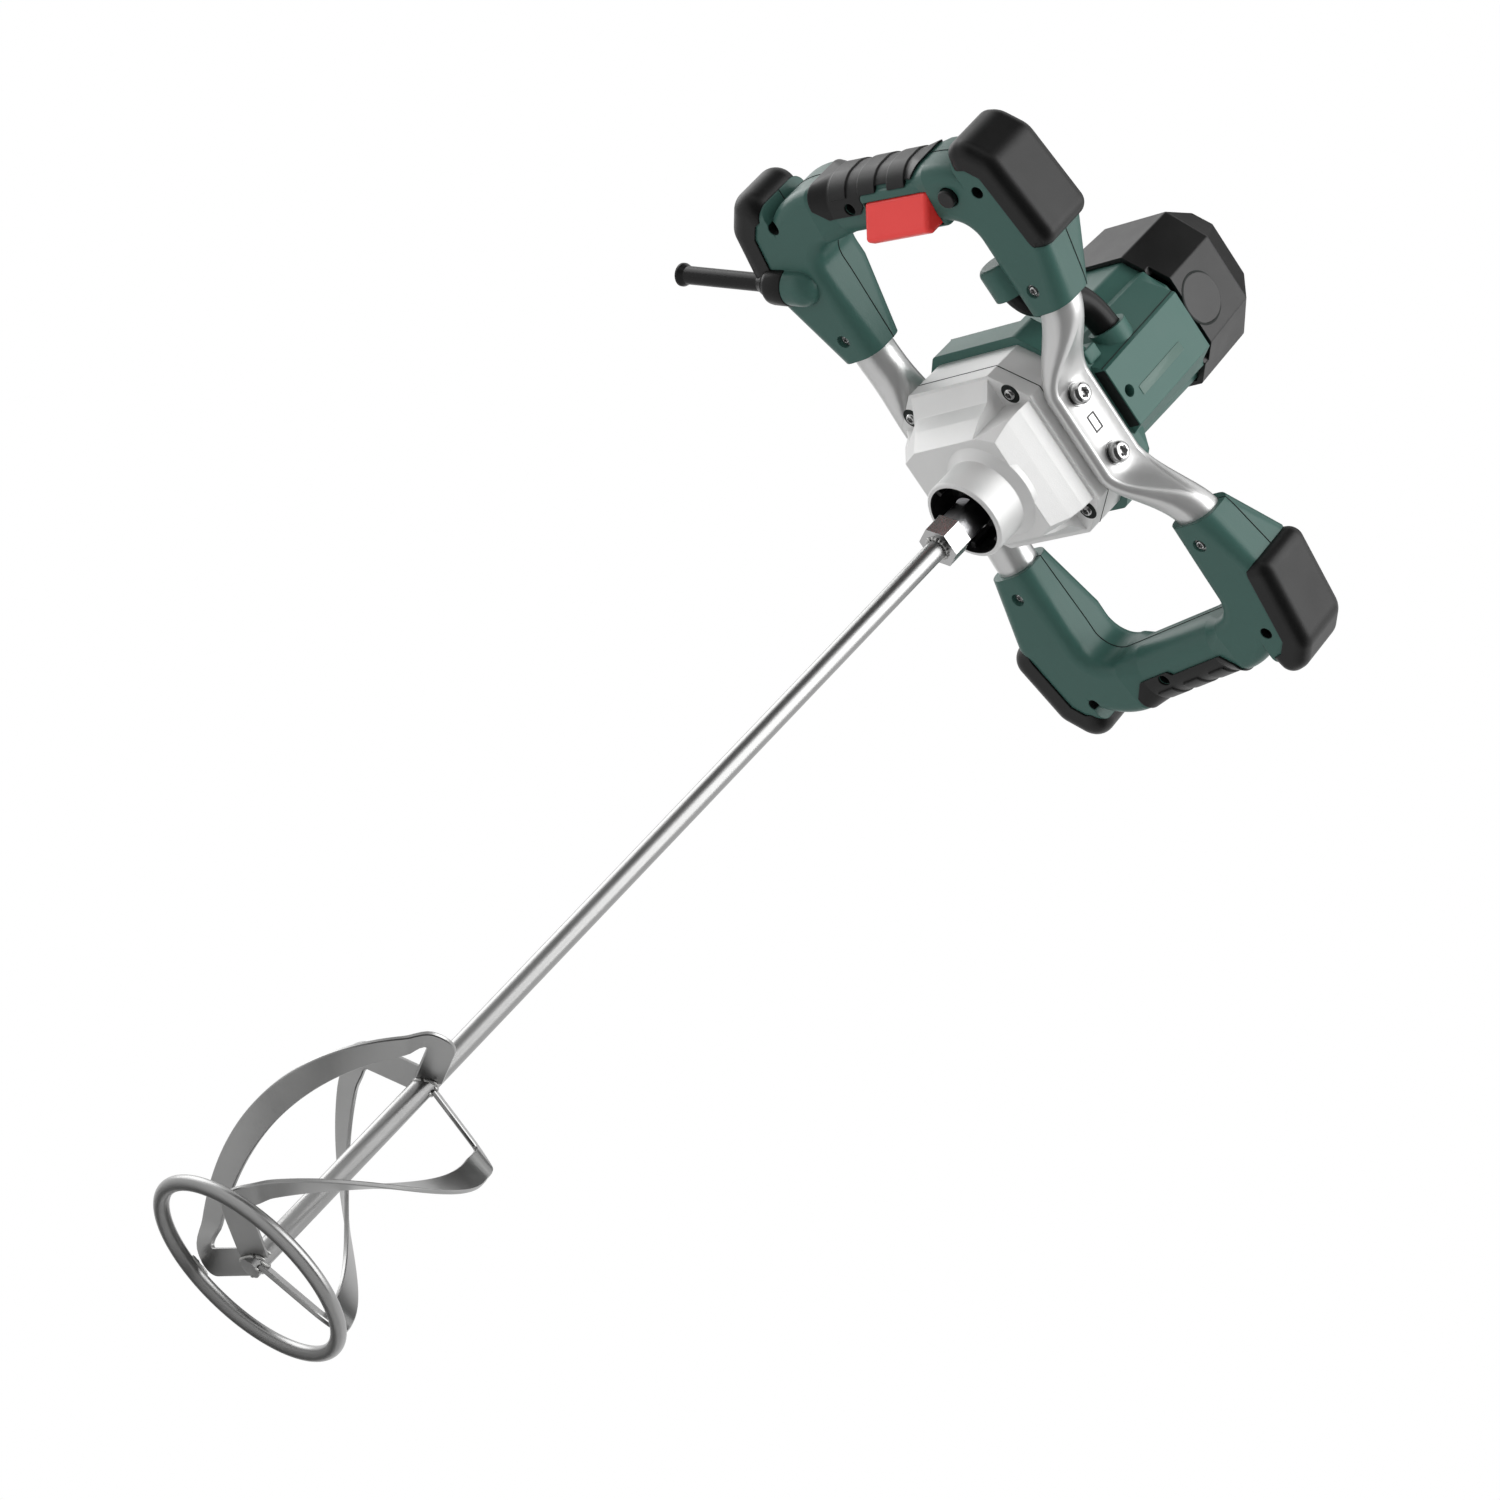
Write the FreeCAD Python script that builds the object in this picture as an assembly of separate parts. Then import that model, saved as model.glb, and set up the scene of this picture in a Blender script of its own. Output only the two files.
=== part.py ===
import FreeCAD, Part
import math
import os
from collections import namedtuple

# Two-handed mixing drill: a geared motor hung in a bent tube frame between two D handles,
# with a basket stirrer screwed into the spindle. Millimetres, +Z up along the spindle, +X
# towards the trigger handle. The origin is on the spindle axis, where the neck's round wall begins.

V = FreeCAD.Vector
UP = V(0, 0, 1)

# Running and seating clearances
SHAFT_CLEARANCE = 0.05
SLIDE_CLEARANCE = 0.5
SWING_CLEARANCE = 1.0
AXIAL_CLEARANCE = 0.3

# Neck and gear housing
NECK_R = 25.0
NECK_BORE_R = 22.2
NECK_LENGTH = 26.0
NECK_CHAMFER = 1.0
NECK_FLARE = 5.0
NECK_ROOT = 4.0
NECK_RECESS = 19.0
NECK_RIB_COUNT = 6
NECK_RIB_WIDTH = 3.0
NECK_RIB_DEPTH = 3.2
NECK_RIB_Z = 3.0
NECK_RIB_ROOT = 0.5
NECK_RIB_TURN = 30.0
HOUSING_MID_Z = 39.0
HOUSING_STEP_Z = 49.0
FLANGE_Z = 58.0
SEAM_Z = 68.0
HOUSING_CENTRE_Y = -22.0
HOUSING_EDGE_R = 1.6
FLANGE_HALF_X = 54.5
FLANGE_HALF_Y = 57.0
FLANGE_CUT_X = 18.5
FLANGE_CUT_Y = 22.0
WAIST_LOW = (34.0, 39.5, 5.0, 12.0, -12.5)
WAIST_MID = (40.0, 45.5, 7.0, 15.0, -15.5)
WAIST_STEP = (43.0, 49.5, 9.0, 17.0, -17.5)
WAIST_TOP = (52.5, 55.0, 17.0, 20.0, HOUSING_CENTRE_Y)
POCKET_X = 34.0
POCKET_HALF_Y = 34.0
COVER_HEIGHT = 20.0
CORNER_SCREW_X = 40.4
CORNER_SCREW_HALF_Y = 44.0
CORNER_SCREW_R = 2.5
CORNER_HEAD_R = 4.4
CORNER_HEAD_H = 4.0
CORNER_SCREW_SHORT = 4.0
CORNER_RECESS_R = 2.2
CORNER_RECESS_H = 2.0

# Gear train
SPINDLE_MODULE = 1.75
SPINDLE_TEETH = 28
IDLER_PINION_TEETH = 9
MOTOR_MODULE = 1.0
IDLER_TEETH = 42
MOTOR_PINION_TEETH = 8
TOOTH_ADDENDUM = 0.75
TOOTH_DEDENDUM = 1.2
TOOTH_BACKLASH = 0.3
PRESSURE_ANGLE = 20.0
SPINDLE_GEAR_Z = 42.0
SPINDLE_GEAR_W = 12.0
IDLER_GEAR_Z = 64.0
IDLER_GEAR_W = 8.0
GEAR_GAP = 1.2
GEAR_FLOOR_GAP = 1.5

# Spindle and its bearings
NOSE_R = 10.5
NOSE_FLAT = 8.5
NOSE_DROP = 12.0
JOURNAL_R = 8.5
LOWER_BEARING_R = 17.5
LOWER_BEARING_W = 10.0
SEAL_W = 4.0
SPINDLE_TOP_R = 5.0
NEEDLE_R = 7.0
NEEDLE_W = 10.0
NEEDLE_BOSS_R = 9.4
NEEDLE_DROP = 5.0
NOSE_FLAT_TOP = 6.0
JOURNAL_PAST_GEAR = 4.0
BEARING_LIP = 2.0
IDLER_R = 4.0
IDLER_BEARING_R = 8.0
IDLER_BEARING_W = 5.0
IDLER_DROP = 2.0
IDLER_RISE = 3.0
IDLER_BORE_GAP = 1.5

# Motor
MOTOR_Y = -22.0
ARMATURE_SHAFT_R = 4.0
MOTOR_BEARING_R = 11.0
MOTOR_BEARING_W = 7.0
MOTOR_BEARING_DROP = 3.0
PINION_OVERRUN = 1.0
FAN_R = 35.0
FAN_HUB_R = 9.0
FAN_W = 11.0
FAN_BLADES = 12
FAN_Z = 93.0
FAN_PLATE_T = 1.5
FAN_BLADE_T = 1.4
FAN_BLADE_OVERLAP = 0.5
STATOR_R = 37.0
STATOR_BORE_R = 23.0
STATOR_Z = 112.0
STATOR_W = 58.0
COIL_INSET = 3.0
COIL_RUN_OUT = 5.0
COIL_GAP = 12.0
ARMATURE_R = 22.3
ARMATURE_SLOTS = 12
ARMATURE_SLOT_DEPTH = 7.0
ARMATURE_SLOT_W = 2.4
WINDING_INSET = 4.0
WINDING_RUN_OUT = 12.0
COMMUTATOR_R = 13.0
COMMUTATOR_W = 20.0
COMMUTATOR_GAP = 6.0
BRUSH_Z = 206.0
BRUSH_SIZE = 8.0
BRUSH_LENGTH = 16.0
BRUSH_TUBE_WALL = 2.0
BRUSH_TUBE_GAP = 2.5
BRACKET_RIM = 6.0
BRACKET_POST = 4.0
BRUSH_CAP_R = 15.0
BRUSH_CAP_T = 3.0
BRUSH_CAP_GAP = 0.2
BRUSH_CAP_REACH = 12.0

# Motor housing and end cap
BASE_HALF_X = 60.0
BASE_HALF_Y = 60.0
BASE_CUT = 24.0
BASE_HEIGHT = 24.0
BASE_SHOULDER = 6.0
BASE_TAPER_GROW = 4.0
BARREL_HALF_X = 41.5
BARREL_HALF_Y = 49.0
BARREL_CUT = 22.0
BARREL_TOP = 190.5
BARREL_EDGE_R = 5.0
HOUSING_WALL = 3.0
PANEL_HALF_W = 18.8
PANEL_ROOT_HALF_W = 33.0
PANEL_BOTTOM = 103.0
PANEL_TOP = 181.0
PANEL_Y_BOTTOM = 47.0
PANEL_Y_TOP = 41.0
PANEL_ROOT_DEPTH = 14.0
PANEL_ROOT_T = 6.0
PANEL_TOP_RUN = 7.0
PANEL_TOP_PROUD = 1.0
RELIEF_DROP = 3.0
PANEL_HOLE_Z = 110.0
PANEL_HOLE_R = 3.6
PANEL_HOLE_DEPTH = 14.0
CAP_OVERHANG = 3.2
CAP_BOTTOM = 189.0
CAP_SHOULDER = 238.0
CAP_TOP = 263.0
CAP_TOP_INSET = 17.0
CAP_TOP_INSET_Y = 25.0
CAP_TOP_CUT = 10.0
CAP_SHOULDER_INSET_X = 1.0
CAP_SHOULDER_INSET_Y = 6.0
CAP_SHOULDER_CUT = 19.0
CAP_WALL = 2.6
CAP_EDGE_R = 2.5
CAP_RECESS = 2.0
CAP_NOTCH_DEPTH = 8.0
CAP_NOTCH_RISE = 12.0

# Bent tube frame
TUBE_R = 12.5
TUBE_WALL = 2.2
TUBE_FLAT_W = 35.0
TUBE_FLAT_T = 9.0
TUBE_DISH = 2.2
TUBE_Z = 79.6
TUBE_FRONT_RISE = 12.0
TUBE_REAR_RISE = 3.0
TUBE_FLAT_HALF = 27.0
TUBE_BEND_END = 70.0
TUBE_FRONT_END_Y = 62.5
TUBE_REAR_END_Y = -92.5
TUBE_INSERT = 20.0
TUBE_ROUNDNESS = 0.97
BEND_LEAD = 3.0
BEND_RUN_OUT = 8.0
BEND_STATIONS = 7
PAD_PROUD = 1.5
PAD_OVERLAP = 4.0
PAD_MARGIN = 6.0
FRAME_SCREW_X = 20.3
FRAME_SCREW_R = 3.0
FRAME_HEAD_R = 6.4
FRAME_HEAD_H = 4.6
FRAME_HEAD_EDGE_R = 2.7
FRAME_RECESS_R = 2.9
FRAME_RECESS_H = 3.0
WASHER_R = 7.0
WASHER_T = 2.8
FRAME_SCREW_BITE = 12.0

# D handles, drawn level and then tilted front end up
HANDLE_TILT = 5.0
HANDLE_PIVOT_Y = -15.0
HANDLE_PIVOT_Z = 90.0
HANDLE_FLOOR = 71.5
PARTING_RISE = 22.0
SLEEVE_SIZE = 31.0
SLEEVE_EDGE_R = 11.0
SLEEVE_FRONT_X = 73.0
SLEEVE_REAR_X = 79.0
LEG_HEIGHT = 42.0
LEG_EDGE_R = 8.0
LEG_INNER_FRONT_Y = 46.0
LEG_INNER_REAR_Y = -75.0
LEG_FRONT_WIDTH = 41.0
LEG_REAR_WIDTH = 44.0
FRONT_BUMPER_START = 108.0
REAR_BUMPER_START = 126.0
CORNER_INNER_R = 16.0
GRIP_AXIS_FRONT_X = 157.0
GRIP_AXIS_REAR_X = 168.0
GRIP_WIDTH = 35.0
GRIP_HEIGHT = 37.0
GRIP_LIFT = 2.5
GRIP_EDGE_R = 15.5
GRIP_NECK = 14.0
BUMPER_LIP = 1.0
BUMPER_LAP = 6.0
BUMPER_SEAT_X = 13.0
BUMPER_SEAT_KNEE = (3.0, 9.0)
BUMPER_SEAT_Y = 21.0
BUMPER_CORNER_R = 15.0
BUMPER_END_SHARE = 0.94
BUMPER_RIM_SHARE = 0.86
FRONT_BUMPER_T = 9.0
REAR_BUMPER_T = 13.0
PAD_THICKNESS = 1.4
PATCH_THICKNESS = 0.8
PATCH_LENGTH = 13.0
PATCH_COUNT = 3
PATCH_WRAP = 8.0
PAD_REACH = 10.0
PAD_END = 3.0
PAD_INNER = 32.0
PAD_CORNER = 8.0
PAD_GUARD_GAP = 2.0
RIGHT_PAD_STEP = 14.0
LEFT_PAD_STEP = 3.0
SHELL_HOLE_R = 3.7
SHELL_HOLE_DEPTH = 14.0
SHELL_HOLE_REACH = 46.5
FRONT_HOLE_ANGLE = 53.0
REAR_HOLE_ANGLE = -37.0
GRIP_HOLE_OUT = 36.0
GRIP_HOLE_RUN = 61.0
SHELL_SCREW_R = 2.0
SHELL_HEAD_R = 3.5
SHELL_HEAD_H = 2.4
SHELL_SCREW_LENGTH = 22.0
LEG_SCREW_FROM_END = 14.5
LEG_SCREW_RECESS = -0.6
LEG_HEAD_R = 2.9
LEG_HOLE_R = 4.1

# Trigger, switch and lock button, about the grip's own axes
TRIGGER_INNER = 17.0
TRIGGER_OUTER = 38.0
TRIGGER_FRONT = -1.8
TRIGGER_LENGTH = 47.0
TRIGGER_DROP = 13.5
TRIGGER_TOE = 4.0
TRIGGER_TOE_RISE = 5.0
TRIGGER_RISE = 11.0
TRIGGER_TRAVEL = 5.0
TRIGGER_EDGE_R = 2.5
TRIGGER_STEM_R = 3.0
TRIGGER_STEM = 8.0
SWITCH_LENGTH = 42.0
SWITCH_INNER = 22.0
SWITCH_OUTER = 38.0
SWITCH_HEIGHT = 15.0
GUARD_INNER = 14.0
GUARD_OUTER = 44.0
GUARD_MARGIN = 4.5
GUARD_EDGE_R = 5.0
GUARD_DROP = 1.5
LOCK_OUT = 33.0
LOCK_RUN = -13.0
LOCK_R = 5.5
LOCK_PROUD = 3.5
LOCK_DEPTH = 9.0
LOCK_TRAVEL = 3.0

# Cable sleeve and conduit
CABLE_SLEEVE_X = 133.0
CABLE_SLEEVE_Y = -92.0
CABLE_SLEEVE_Z = 66.0
CABLE_SLEEVE_TURN = 17.5
CABLE_SLEEVE_R = 5.4
CABLE_BORE_R = 3.8
CABLE_SLEEVE_LENGTH = 96.0
CABLE_ROOT_R = 8.5
CABLE_ROOT_LENGTH = 27.0
CABLE_FLARE_R = 6.9
CABLE_NECK = 6.0
CABLE_FLARE_RUN = 5.0
CABLE_LIP = 1.5
CABLE_FLOOR = 4.0
CABLE_BOSS_R = 11.5
CABLE_BOSS_LENGTH = 21.0
CONDUIT_R = 8.5
CONDUIT_BORE_R = 6.0
CONDUIT_COLLAR_R = 11.5
CONDUIT_COLLAR_X = 31.0
CONDUIT_COLLAR_LENGTH = 14.0
CONDUIT_BOSS_R = 12.0
CONDUIT_BOSS_X = 87.0
CONDUIT_BOSS_LENGTH = 20.0
CONDUIT_BOSS_EDGE_R = 4.0
CONDUIT_ROUTE = [(98.0, 40.0, 86.0), (74.0, 37.0, 89.0), (57.0, 33.0, 131.0), (22.0, 31.0, 134.0)]
CONDUIT_BEND_R = 18.0

# Stirrer
STIRRER_BOTTOM = -613.6
RING_R = 60.0
RING_ROD_R = 4.0
STIRRER_SHAFT_R = 6.0
HEX_ACROSS = 22.0
HEX_LENGTH = 14.0
STUD_R = 7.0
STUD_LENGTH = 20.0
BLADE_COUNT = 3
BLADE_WIDTH = 20.0
BLADE_THICKNESS = 3.0
BLADE_OUTER_R = 58.0
BLADE_START = 30.0
BLADE_TURN = 150.0
BLADE_RISE = 132.0
BLADE_STATIONS = 9
SPOKE_PITCH = 31.0


def polygon(points, z):
    corners = [V(x, y, z) for x, y in points]
    return Part.makePolygon(corners + corners[:1])


def prism(points, z0, z1):
    return Part.Face(polygon(points, z0)).extrude(V(0, 0, z1 - z0))


def stacked_loft(sections):
    return Part.makeLoft([polygon(points, z) for points, z in sections], True, True)


def cylinder(radius, z0, z1, at=(0.0, 0.0)):
    return Part.makeCylinder(radius, z1 - z0, V(at[0], at[1], z0))


def ring(outer, inner, z0, z1, at=(0.0, 0.0)):
    return cylinder(outer, z0, z1, at).cut(cylinder(inner, z0, z1, at))


def cylinder_y(radius, x, z, y0, y1):
    low, high = min(y0, y1), max(y0, y1)
    return Part.makeCylinder(radius, high - low, V(x, low, z), V(0, 1, 0))


def cylinder_x(radius, y, z, x0, x1):
    return Part.makeCylinder(radius, x1 - x0, V(x0, y, z), V(1, 0, 0))


def box(x0, x1, y0, y1, z0, z1):
    return Part.makeBox(x1 - x0, y1 - y0, z1 - z0, V(x0, y0, z0))


def fuse(shapes):
    return shapes[0].multiFuse(shapes[1:]).removeSplitter()


def largest(shape):
    return max(shape.Solids, key=lambda solid: solid.Volume)


def mirror_x(shape):
    return shape.mirror(V(0, 0, 0), V(1, 0, 0))


def upright_edges(shape):
    return [e for e in shape.Edges if abs(e.BoundBox.XLength) + abs(e.BoundBox.YLength) < 1e-3]


def octagon(half_x, half_y, cut_x, cut_y, centre_y):
    quarter = [(half_x, half_y - cut_y), (half_x - cut_x, half_y)]
    right = [(x, y) for x, y in quarter]
    left = [(-x, y) for x, y in reversed(quarter)]
    upper = right + left
    lower = [(x, -y) for x, y in reversed(upper)]
    return [(x, y + centre_y) for x, y in upper + lower]


def polar(radius, degrees, at=(0.0, 0.0)):
    angle = math.radians(degrees)
    return (at[0] + radius * math.cos(angle), at[1] + radius * math.sin(angle))


# Gear train places: the idler stands off to one side, in mesh with both other axes
SPINDLE_PITCH_R = SPINDLE_MODULE * SPINDLE_TEETH / 2
IDLER_PINION_PITCH_R = SPINDLE_MODULE * IDLER_PINION_TEETH / 2
IDLER_PITCH_R = MOTOR_MODULE * IDLER_TEETH / 2
MOTOR_PINION_PITCH_R = MOTOR_MODULE * MOTOR_PINION_TEETH / 2
MOTOR_AT = (0.0, MOTOR_Y)
SPINDLE_TO_IDLER = SPINDLE_PITCH_R + IDLER_PINION_PITCH_R
MOTOR_TO_IDLER = IDLER_PITCH_R + MOTOR_PINION_PITCH_R


def idler_place():
    y = (SPINDLE_TO_IDLER ** 2 - MOTOR_TO_IDLER ** 2 + MOTOR_Y ** 2) / (2 * MOTOR_Y)
    return (-math.sqrt(SPINDLE_TO_IDLER ** 2 - y ** 2), y)


IDLER_AT = idler_place()
IDLER_BEARING = math.degrees(math.atan2(IDLER_AT[1], IDLER_AT[0]))
MOTOR_BEARING = math.degrees(math.atan2(MOTOR_AT[1] - IDLER_AT[1], MOTOR_AT[0] - IDLER_AT[0]))


def involute(base_r, radius):
    turn = math.sqrt(max((radius / base_r) ** 2 - 1.0, 0.0))
    return math.degrees(turn - math.atan(turn))


def gear(module, teeth, z0, width, at, phase):
    """Spur gear with stub involute teeth; one tooth is centred on the phase angle."""
    pitch_r = module * teeth / 2
    base_r = pitch_r * math.cos(math.radians(PRESSURE_ANGLE))
    root_r = pitch_r - TOOTH_DEDENDUM * module
    tip_r = pitch_r + TOOTH_ADDENDUM * module
    thickness = math.pi * module / 2 - TOOTH_BACKLASH * module
    half = math.degrees(thickness / 2 / pitch_r) + involute(base_r, pitch_r)
    flank = [root_r] + [max(base_r, root_r) + (tip_r - max(base_r, root_r)) * k / 3 for k in range(4)]
    offsets = [half - involute(base_r, max(r, base_r)) for r in flank]
    points = []
    for tooth in range(teeth):
        centre = phase + 360.0 * tooth / teeth
        points += [polar(r, centre - o, at) for r, o in zip(flank, offsets)]
        points += [polar(r, centre + o, at) for r, o in reversed(list(zip(flank, offsets)))]
    return prism(points, z0, z0 + width)


# Heights that follow from the sizes above
COVER_TOP = SEAM_Z + COVER_HEIGHT
SEAL_Z = NECK_RECESS
LOWER_BEARING_Z = SEAL_Z + SEAL_W
LOWER_BEARING_TOP = LOWER_BEARING_Z + LOWER_BEARING_W
SPINDLE_GEAR_TOP = SPINDLE_GEAR_Z + SPINDLE_GEAR_W
NEEDLE_Z = SEAM_Z - NEEDLE_DROP
NEEDLE_TOP = NEEDLE_Z + NEEDLE_W
IDLER_GEAR_TOP = IDLER_GEAR_Z + IDLER_GEAR_W
IDLER_LOWER_Z = SPINDLE_GEAR_Z - IDLER_DROP - IDLER_BEARING_W
IDLER_UPPER_Z = IDLER_GEAR_TOP + IDLER_RISE
MOTOR_BEARING_Z = COVER_TOP - MOTOR_BEARING_W - MOTOR_BEARING_DROP
SPINDLE_TIP_R = SPINDLE_PITCH_R + TOOTH_ADDENDUM * SPINDLE_MODULE
IDLER_TIP_R = IDLER_PITCH_R + TOOTH_ADDENDUM * MOTOR_MODULE
IDLER_PINION_TIP_R = IDLER_PINION_PITCH_R + TOOTH_ADDENDUM * SPINDLE_MODULE
MOTOR_PINION_TIP_R = MOTOR_PINION_PITCH_R + TOOTH_ADDENDUM * MOTOR_MODULE
HOUSING_FRONT = HOUSING_CENTRE_Y + FLANGE_HALF_Y
HOUSING_REAR = HOUSING_CENTRE_Y - FLANGE_HALF_Y


def flange_outline(grow=0.0):
    return octagon(FLANGE_HALF_X + grow, FLANGE_HALF_Y + grow, FLANGE_CUT_X, FLANGE_CUT_Y, HOUSING_CENTRE_Y)


def corner_places():
    signs = [(1, 1), (-1, 1), (-1, -1), (1, -1)]
    return [(sx * CORNER_SCREW_X, HOUSING_CENTRE_Y + sy * CORNER_SCREW_HALF_Y) for sx, sy in signs]


def gear_housing():
    """Cast lower housing: faceted taper, corner pockets for the screws, and the clamping neck."""
    waist = [
        (octagon(*WAIST_LOW), NECK_LENGTH),
        (octagon(*WAIST_MID), HOUSING_MID_Z),
        (octagon(*WAIST_STEP), HOUSING_STEP_Z),
        (octagon(*WAIST_TOP), FLANGE_Z),
    ]
    body = stacked_loft(waist)
    pockets = []
    for sx in (1, -1):
        for sy in (1, -1):
            far_x = sx * (FLANGE_HALF_X + FLANGE_CUT_X)
            near_y = HOUSING_CENTRE_Y + sy * POCKET_HALF_Y
            far_y = HOUSING_CENTRE_Y + sy * (FLANGE_HALF_Y + FLANGE_CUT_Y)
            low_x, high_x = sorted((sx * POCKET_X, far_x))
            low_y, high_y = sorted((near_y, far_y))
            pockets.append(box(low_x, high_x, low_y, high_y, 0.0, FLANGE_Z))
    flange = prism(flange_outline(), FLANGE_Z, SEAM_Z)
    flange = flange.makeFillet(HOUSING_EDGE_R, upright_edges(flange))
    neck_profile = [
        V(0, 0, -NECK_CHAMFER),
        V(NECK_R - NECK_CHAMFER, 0, -NECK_CHAMFER),
        V(NECK_R, 0, 0),
        V(NECK_R, 0, NECK_LENGTH - NECK_FLARE),
        V(NECK_R + NECK_FLARE, 0, NECK_LENGTH),
        V(NECK_R + NECK_FLARE, 0, NECK_LENGTH + NECK_ROOT),
        V(0, 0, NECK_LENGTH + NECK_ROOT),
    ]
    neck = Part.Face(Part.makePolygon(neck_profile + neck_profile[:1])).revolve(V(0, 0, 0), UP, 360)
    solid = fuse([body.cut(pockets[0].multiFuse(pockets[1:])), flange, neck])
    cuts = [
        cylinder(NECK_BORE_R, -NECK_CHAMFER, NECK_RECESS),
        cylinder(LOWER_BEARING_R, SEAL_Z, LOWER_BEARING_TOP),
        cylinder(LOWER_BEARING_R - BEARING_LIP, LOWER_BEARING_TOP, SPINDLE_GEAR_Z),
        cylinder(SPINDLE_TIP_R + GEAR_GAP, SPINDLE_GEAR_Z - GEAR_FLOOR_GAP, SEAM_Z),
        cylinder(IDLER_BEARING_R, IDLER_LOWER_Z, SPINDLE_GEAR_Z, IDLER_AT),
        cylinder(IDLER_PINION_TIP_R + GEAR_GAP, SPINDLE_GEAR_Z - GEAR_FLOOR_GAP, SEAM_Z, IDLER_AT),
        cylinder(IDLER_TIP_R + GEAR_GAP, IDLER_GEAR_Z - GEAR_FLOOR_GAP, SEAM_Z, IDLER_AT),
        cylinder(MOTOR_PINION_TIP_R + GEAR_GAP, IDLER_GEAR_Z - GEAR_FLOOR_GAP, SEAM_Z, MOTOR_AT),
    ]
    cuts += [cylinder(CORNER_SCREW_R, FLANGE_Z, SEAM_Z, at) for at in corner_places()]
    solid = solid.cut(cuts[0].multiFuse(cuts[1:]))
    ribs = []
    for k in range(NECK_RIB_COUNT):
        rib = box(NECK_BORE_R - NECK_RIB_DEPTH, NECK_BORE_R + NECK_RIB_ROOT, -NECK_RIB_WIDTH / 2,
                  NECK_RIB_WIDTH / 2, NECK_RIB_Z, NECK_RECESS)
        rib.rotate(V(0, 0, 0), UP, NECK_RIB_TURN + 360.0 * k / NECK_RIB_COUNT)
        ribs.append(rib)
    return fuse([solid] + ribs)


def gear_cover():
    """Cast upper plate between the gears and the motor, with the pads the tubes are bolted to."""
    plate = prism(flange_outline(), SEAM_Z, COVER_TOP)
    plate = plate.makeFillet(HOUSING_EDGE_R, upright_edges(plate))
    half_pad = TUBE_FLAT_HALF + PAD_MARGIN
    pads = [
        box(-half_pad, half_pad, HOUSING_FRONT - PAD_OVERLAP, HOUSING_FRONT + PAD_PROUD, SEAM_Z, COVER_TOP),
        box(-half_pad, half_pad, HOUSING_REAR - PAD_PROUD, HOUSING_REAR + PAD_OVERLAP, SEAM_Z, COVER_TOP),
    ]
    boss = cylinder(NEEDLE_BOSS_R, NEEDLE_Z, SEAM_Z)
    solid = fuse([plate, boss] + pads)
    cuts = [
        cylinder(NEEDLE_R, NEEDLE_Z, NEEDLE_TOP),
        cylinder(SPINDLE_TOP_R + SLIDE_CLEARANCE, NEEDLE_TOP, NEEDLE_TOP + GEAR_FLOOR_GAP),
        cylinder(IDLER_TIP_R + GEAR_GAP, SEAM_Z, IDLER_GEAR_TOP + GEAR_FLOOR_GAP, IDLER_AT),
        cylinder(IDLER_BEARING_R, IDLER_UPPER_Z, IDLER_UPPER_Z + IDLER_BEARING_W, IDLER_AT),
        cylinder(IDLER_R + IDLER_BORE_GAP, IDLER_GEAR_TOP, IDLER_UPPER_Z + IDLER_BEARING_W + SWING_CLEARANCE,
                 IDLER_AT),
        cylinder(MOTOR_PINION_TIP_R + GEAR_GAP, SEAM_Z, COVER_TOP, MOTOR_AT),
        cylinder(MOTOR_BEARING_R, MOTOR_BEARING_Z, COVER_TOP, MOTOR_AT),
    ]
    for at in corner_places():
        cuts.append(cylinder(CORNER_SCREW_R, SEAM_Z, COVER_TOP - CORNER_SCREW_SHORT, at))
    for sx in (1, -1):
        x = sx * FRAME_SCREW_X
        front = HOUSING_FRONT + PAD_PROUD
        rear = HOUSING_REAR - PAD_PROUD
        cuts.append(cylinder_y(FRAME_SCREW_R, x, TUBE_Z, front - FRAME_SCREW_BITE, front))
        cuts.append(cylinder_y(FRAME_SCREW_R, x, TUBE_Z, rear, rear + FRAME_SCREW_BITE))
    return solid.cut(cuts[0].multiFuse(cuts[1:]))


def housing_screws():
    """Four star-drive screws that pull the lower housing up to the cover plate."""
    screws = []
    for at in corner_places():
        shank = cylinder(CORNER_SCREW_R, FLANGE_Z, COVER_TOP - CORNER_SCREW_SHORT, at)
        head = cylinder(CORNER_HEAD_R, FLANGE_Z - CORNER_HEAD_H, FLANGE_Z, at)
        low = FLANGE_Z - CORNER_HEAD_H
        recess = cylinder(CORNER_RECESS_R, low, low + CORNER_RECESS_H, at)
        screws.append(fuse([shank, head]).cut(recess))
    return Part.Compound(screws)


def spindle():
    """Output spindle: flatted nose with an internal thread, bearing journal and upper journal."""
    top = NEEDLE_TOP - SLIDE_CLEARANCE
    parts = [
        cylinder(NOSE_R, -NOSE_DROP, SEAL_Z - AXIAL_CLEARANCE),
        cylinder(JOURNAL_R, SEAL_Z - AXIAL_CLEARANCE, SPINDLE_GEAR_TOP + JOURNAL_PAST_GEAR),
        cylinder(SPINDLE_TOP_R, SPINDLE_GEAR_TOP + JOURNAL_PAST_GEAR, top),
    ]
    solid = fuse(parts)
    flats = [
        box(NOSE_FLAT, NOSE_R, -NOSE_R, NOSE_R, -NOSE_DROP, NOSE_FLAT_TOP),
        box(-NOSE_R, -NOSE_FLAT, -NOSE_R, NOSE_R, -NOSE_DROP, NOSE_FLAT_TOP),
    ]
    thread = cylinder(STUD_R, -NOSE_DROP, STUD_LENGTH - NOSE_DROP)
    return solid.cut(fuse(flats)).cut(thread)


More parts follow.
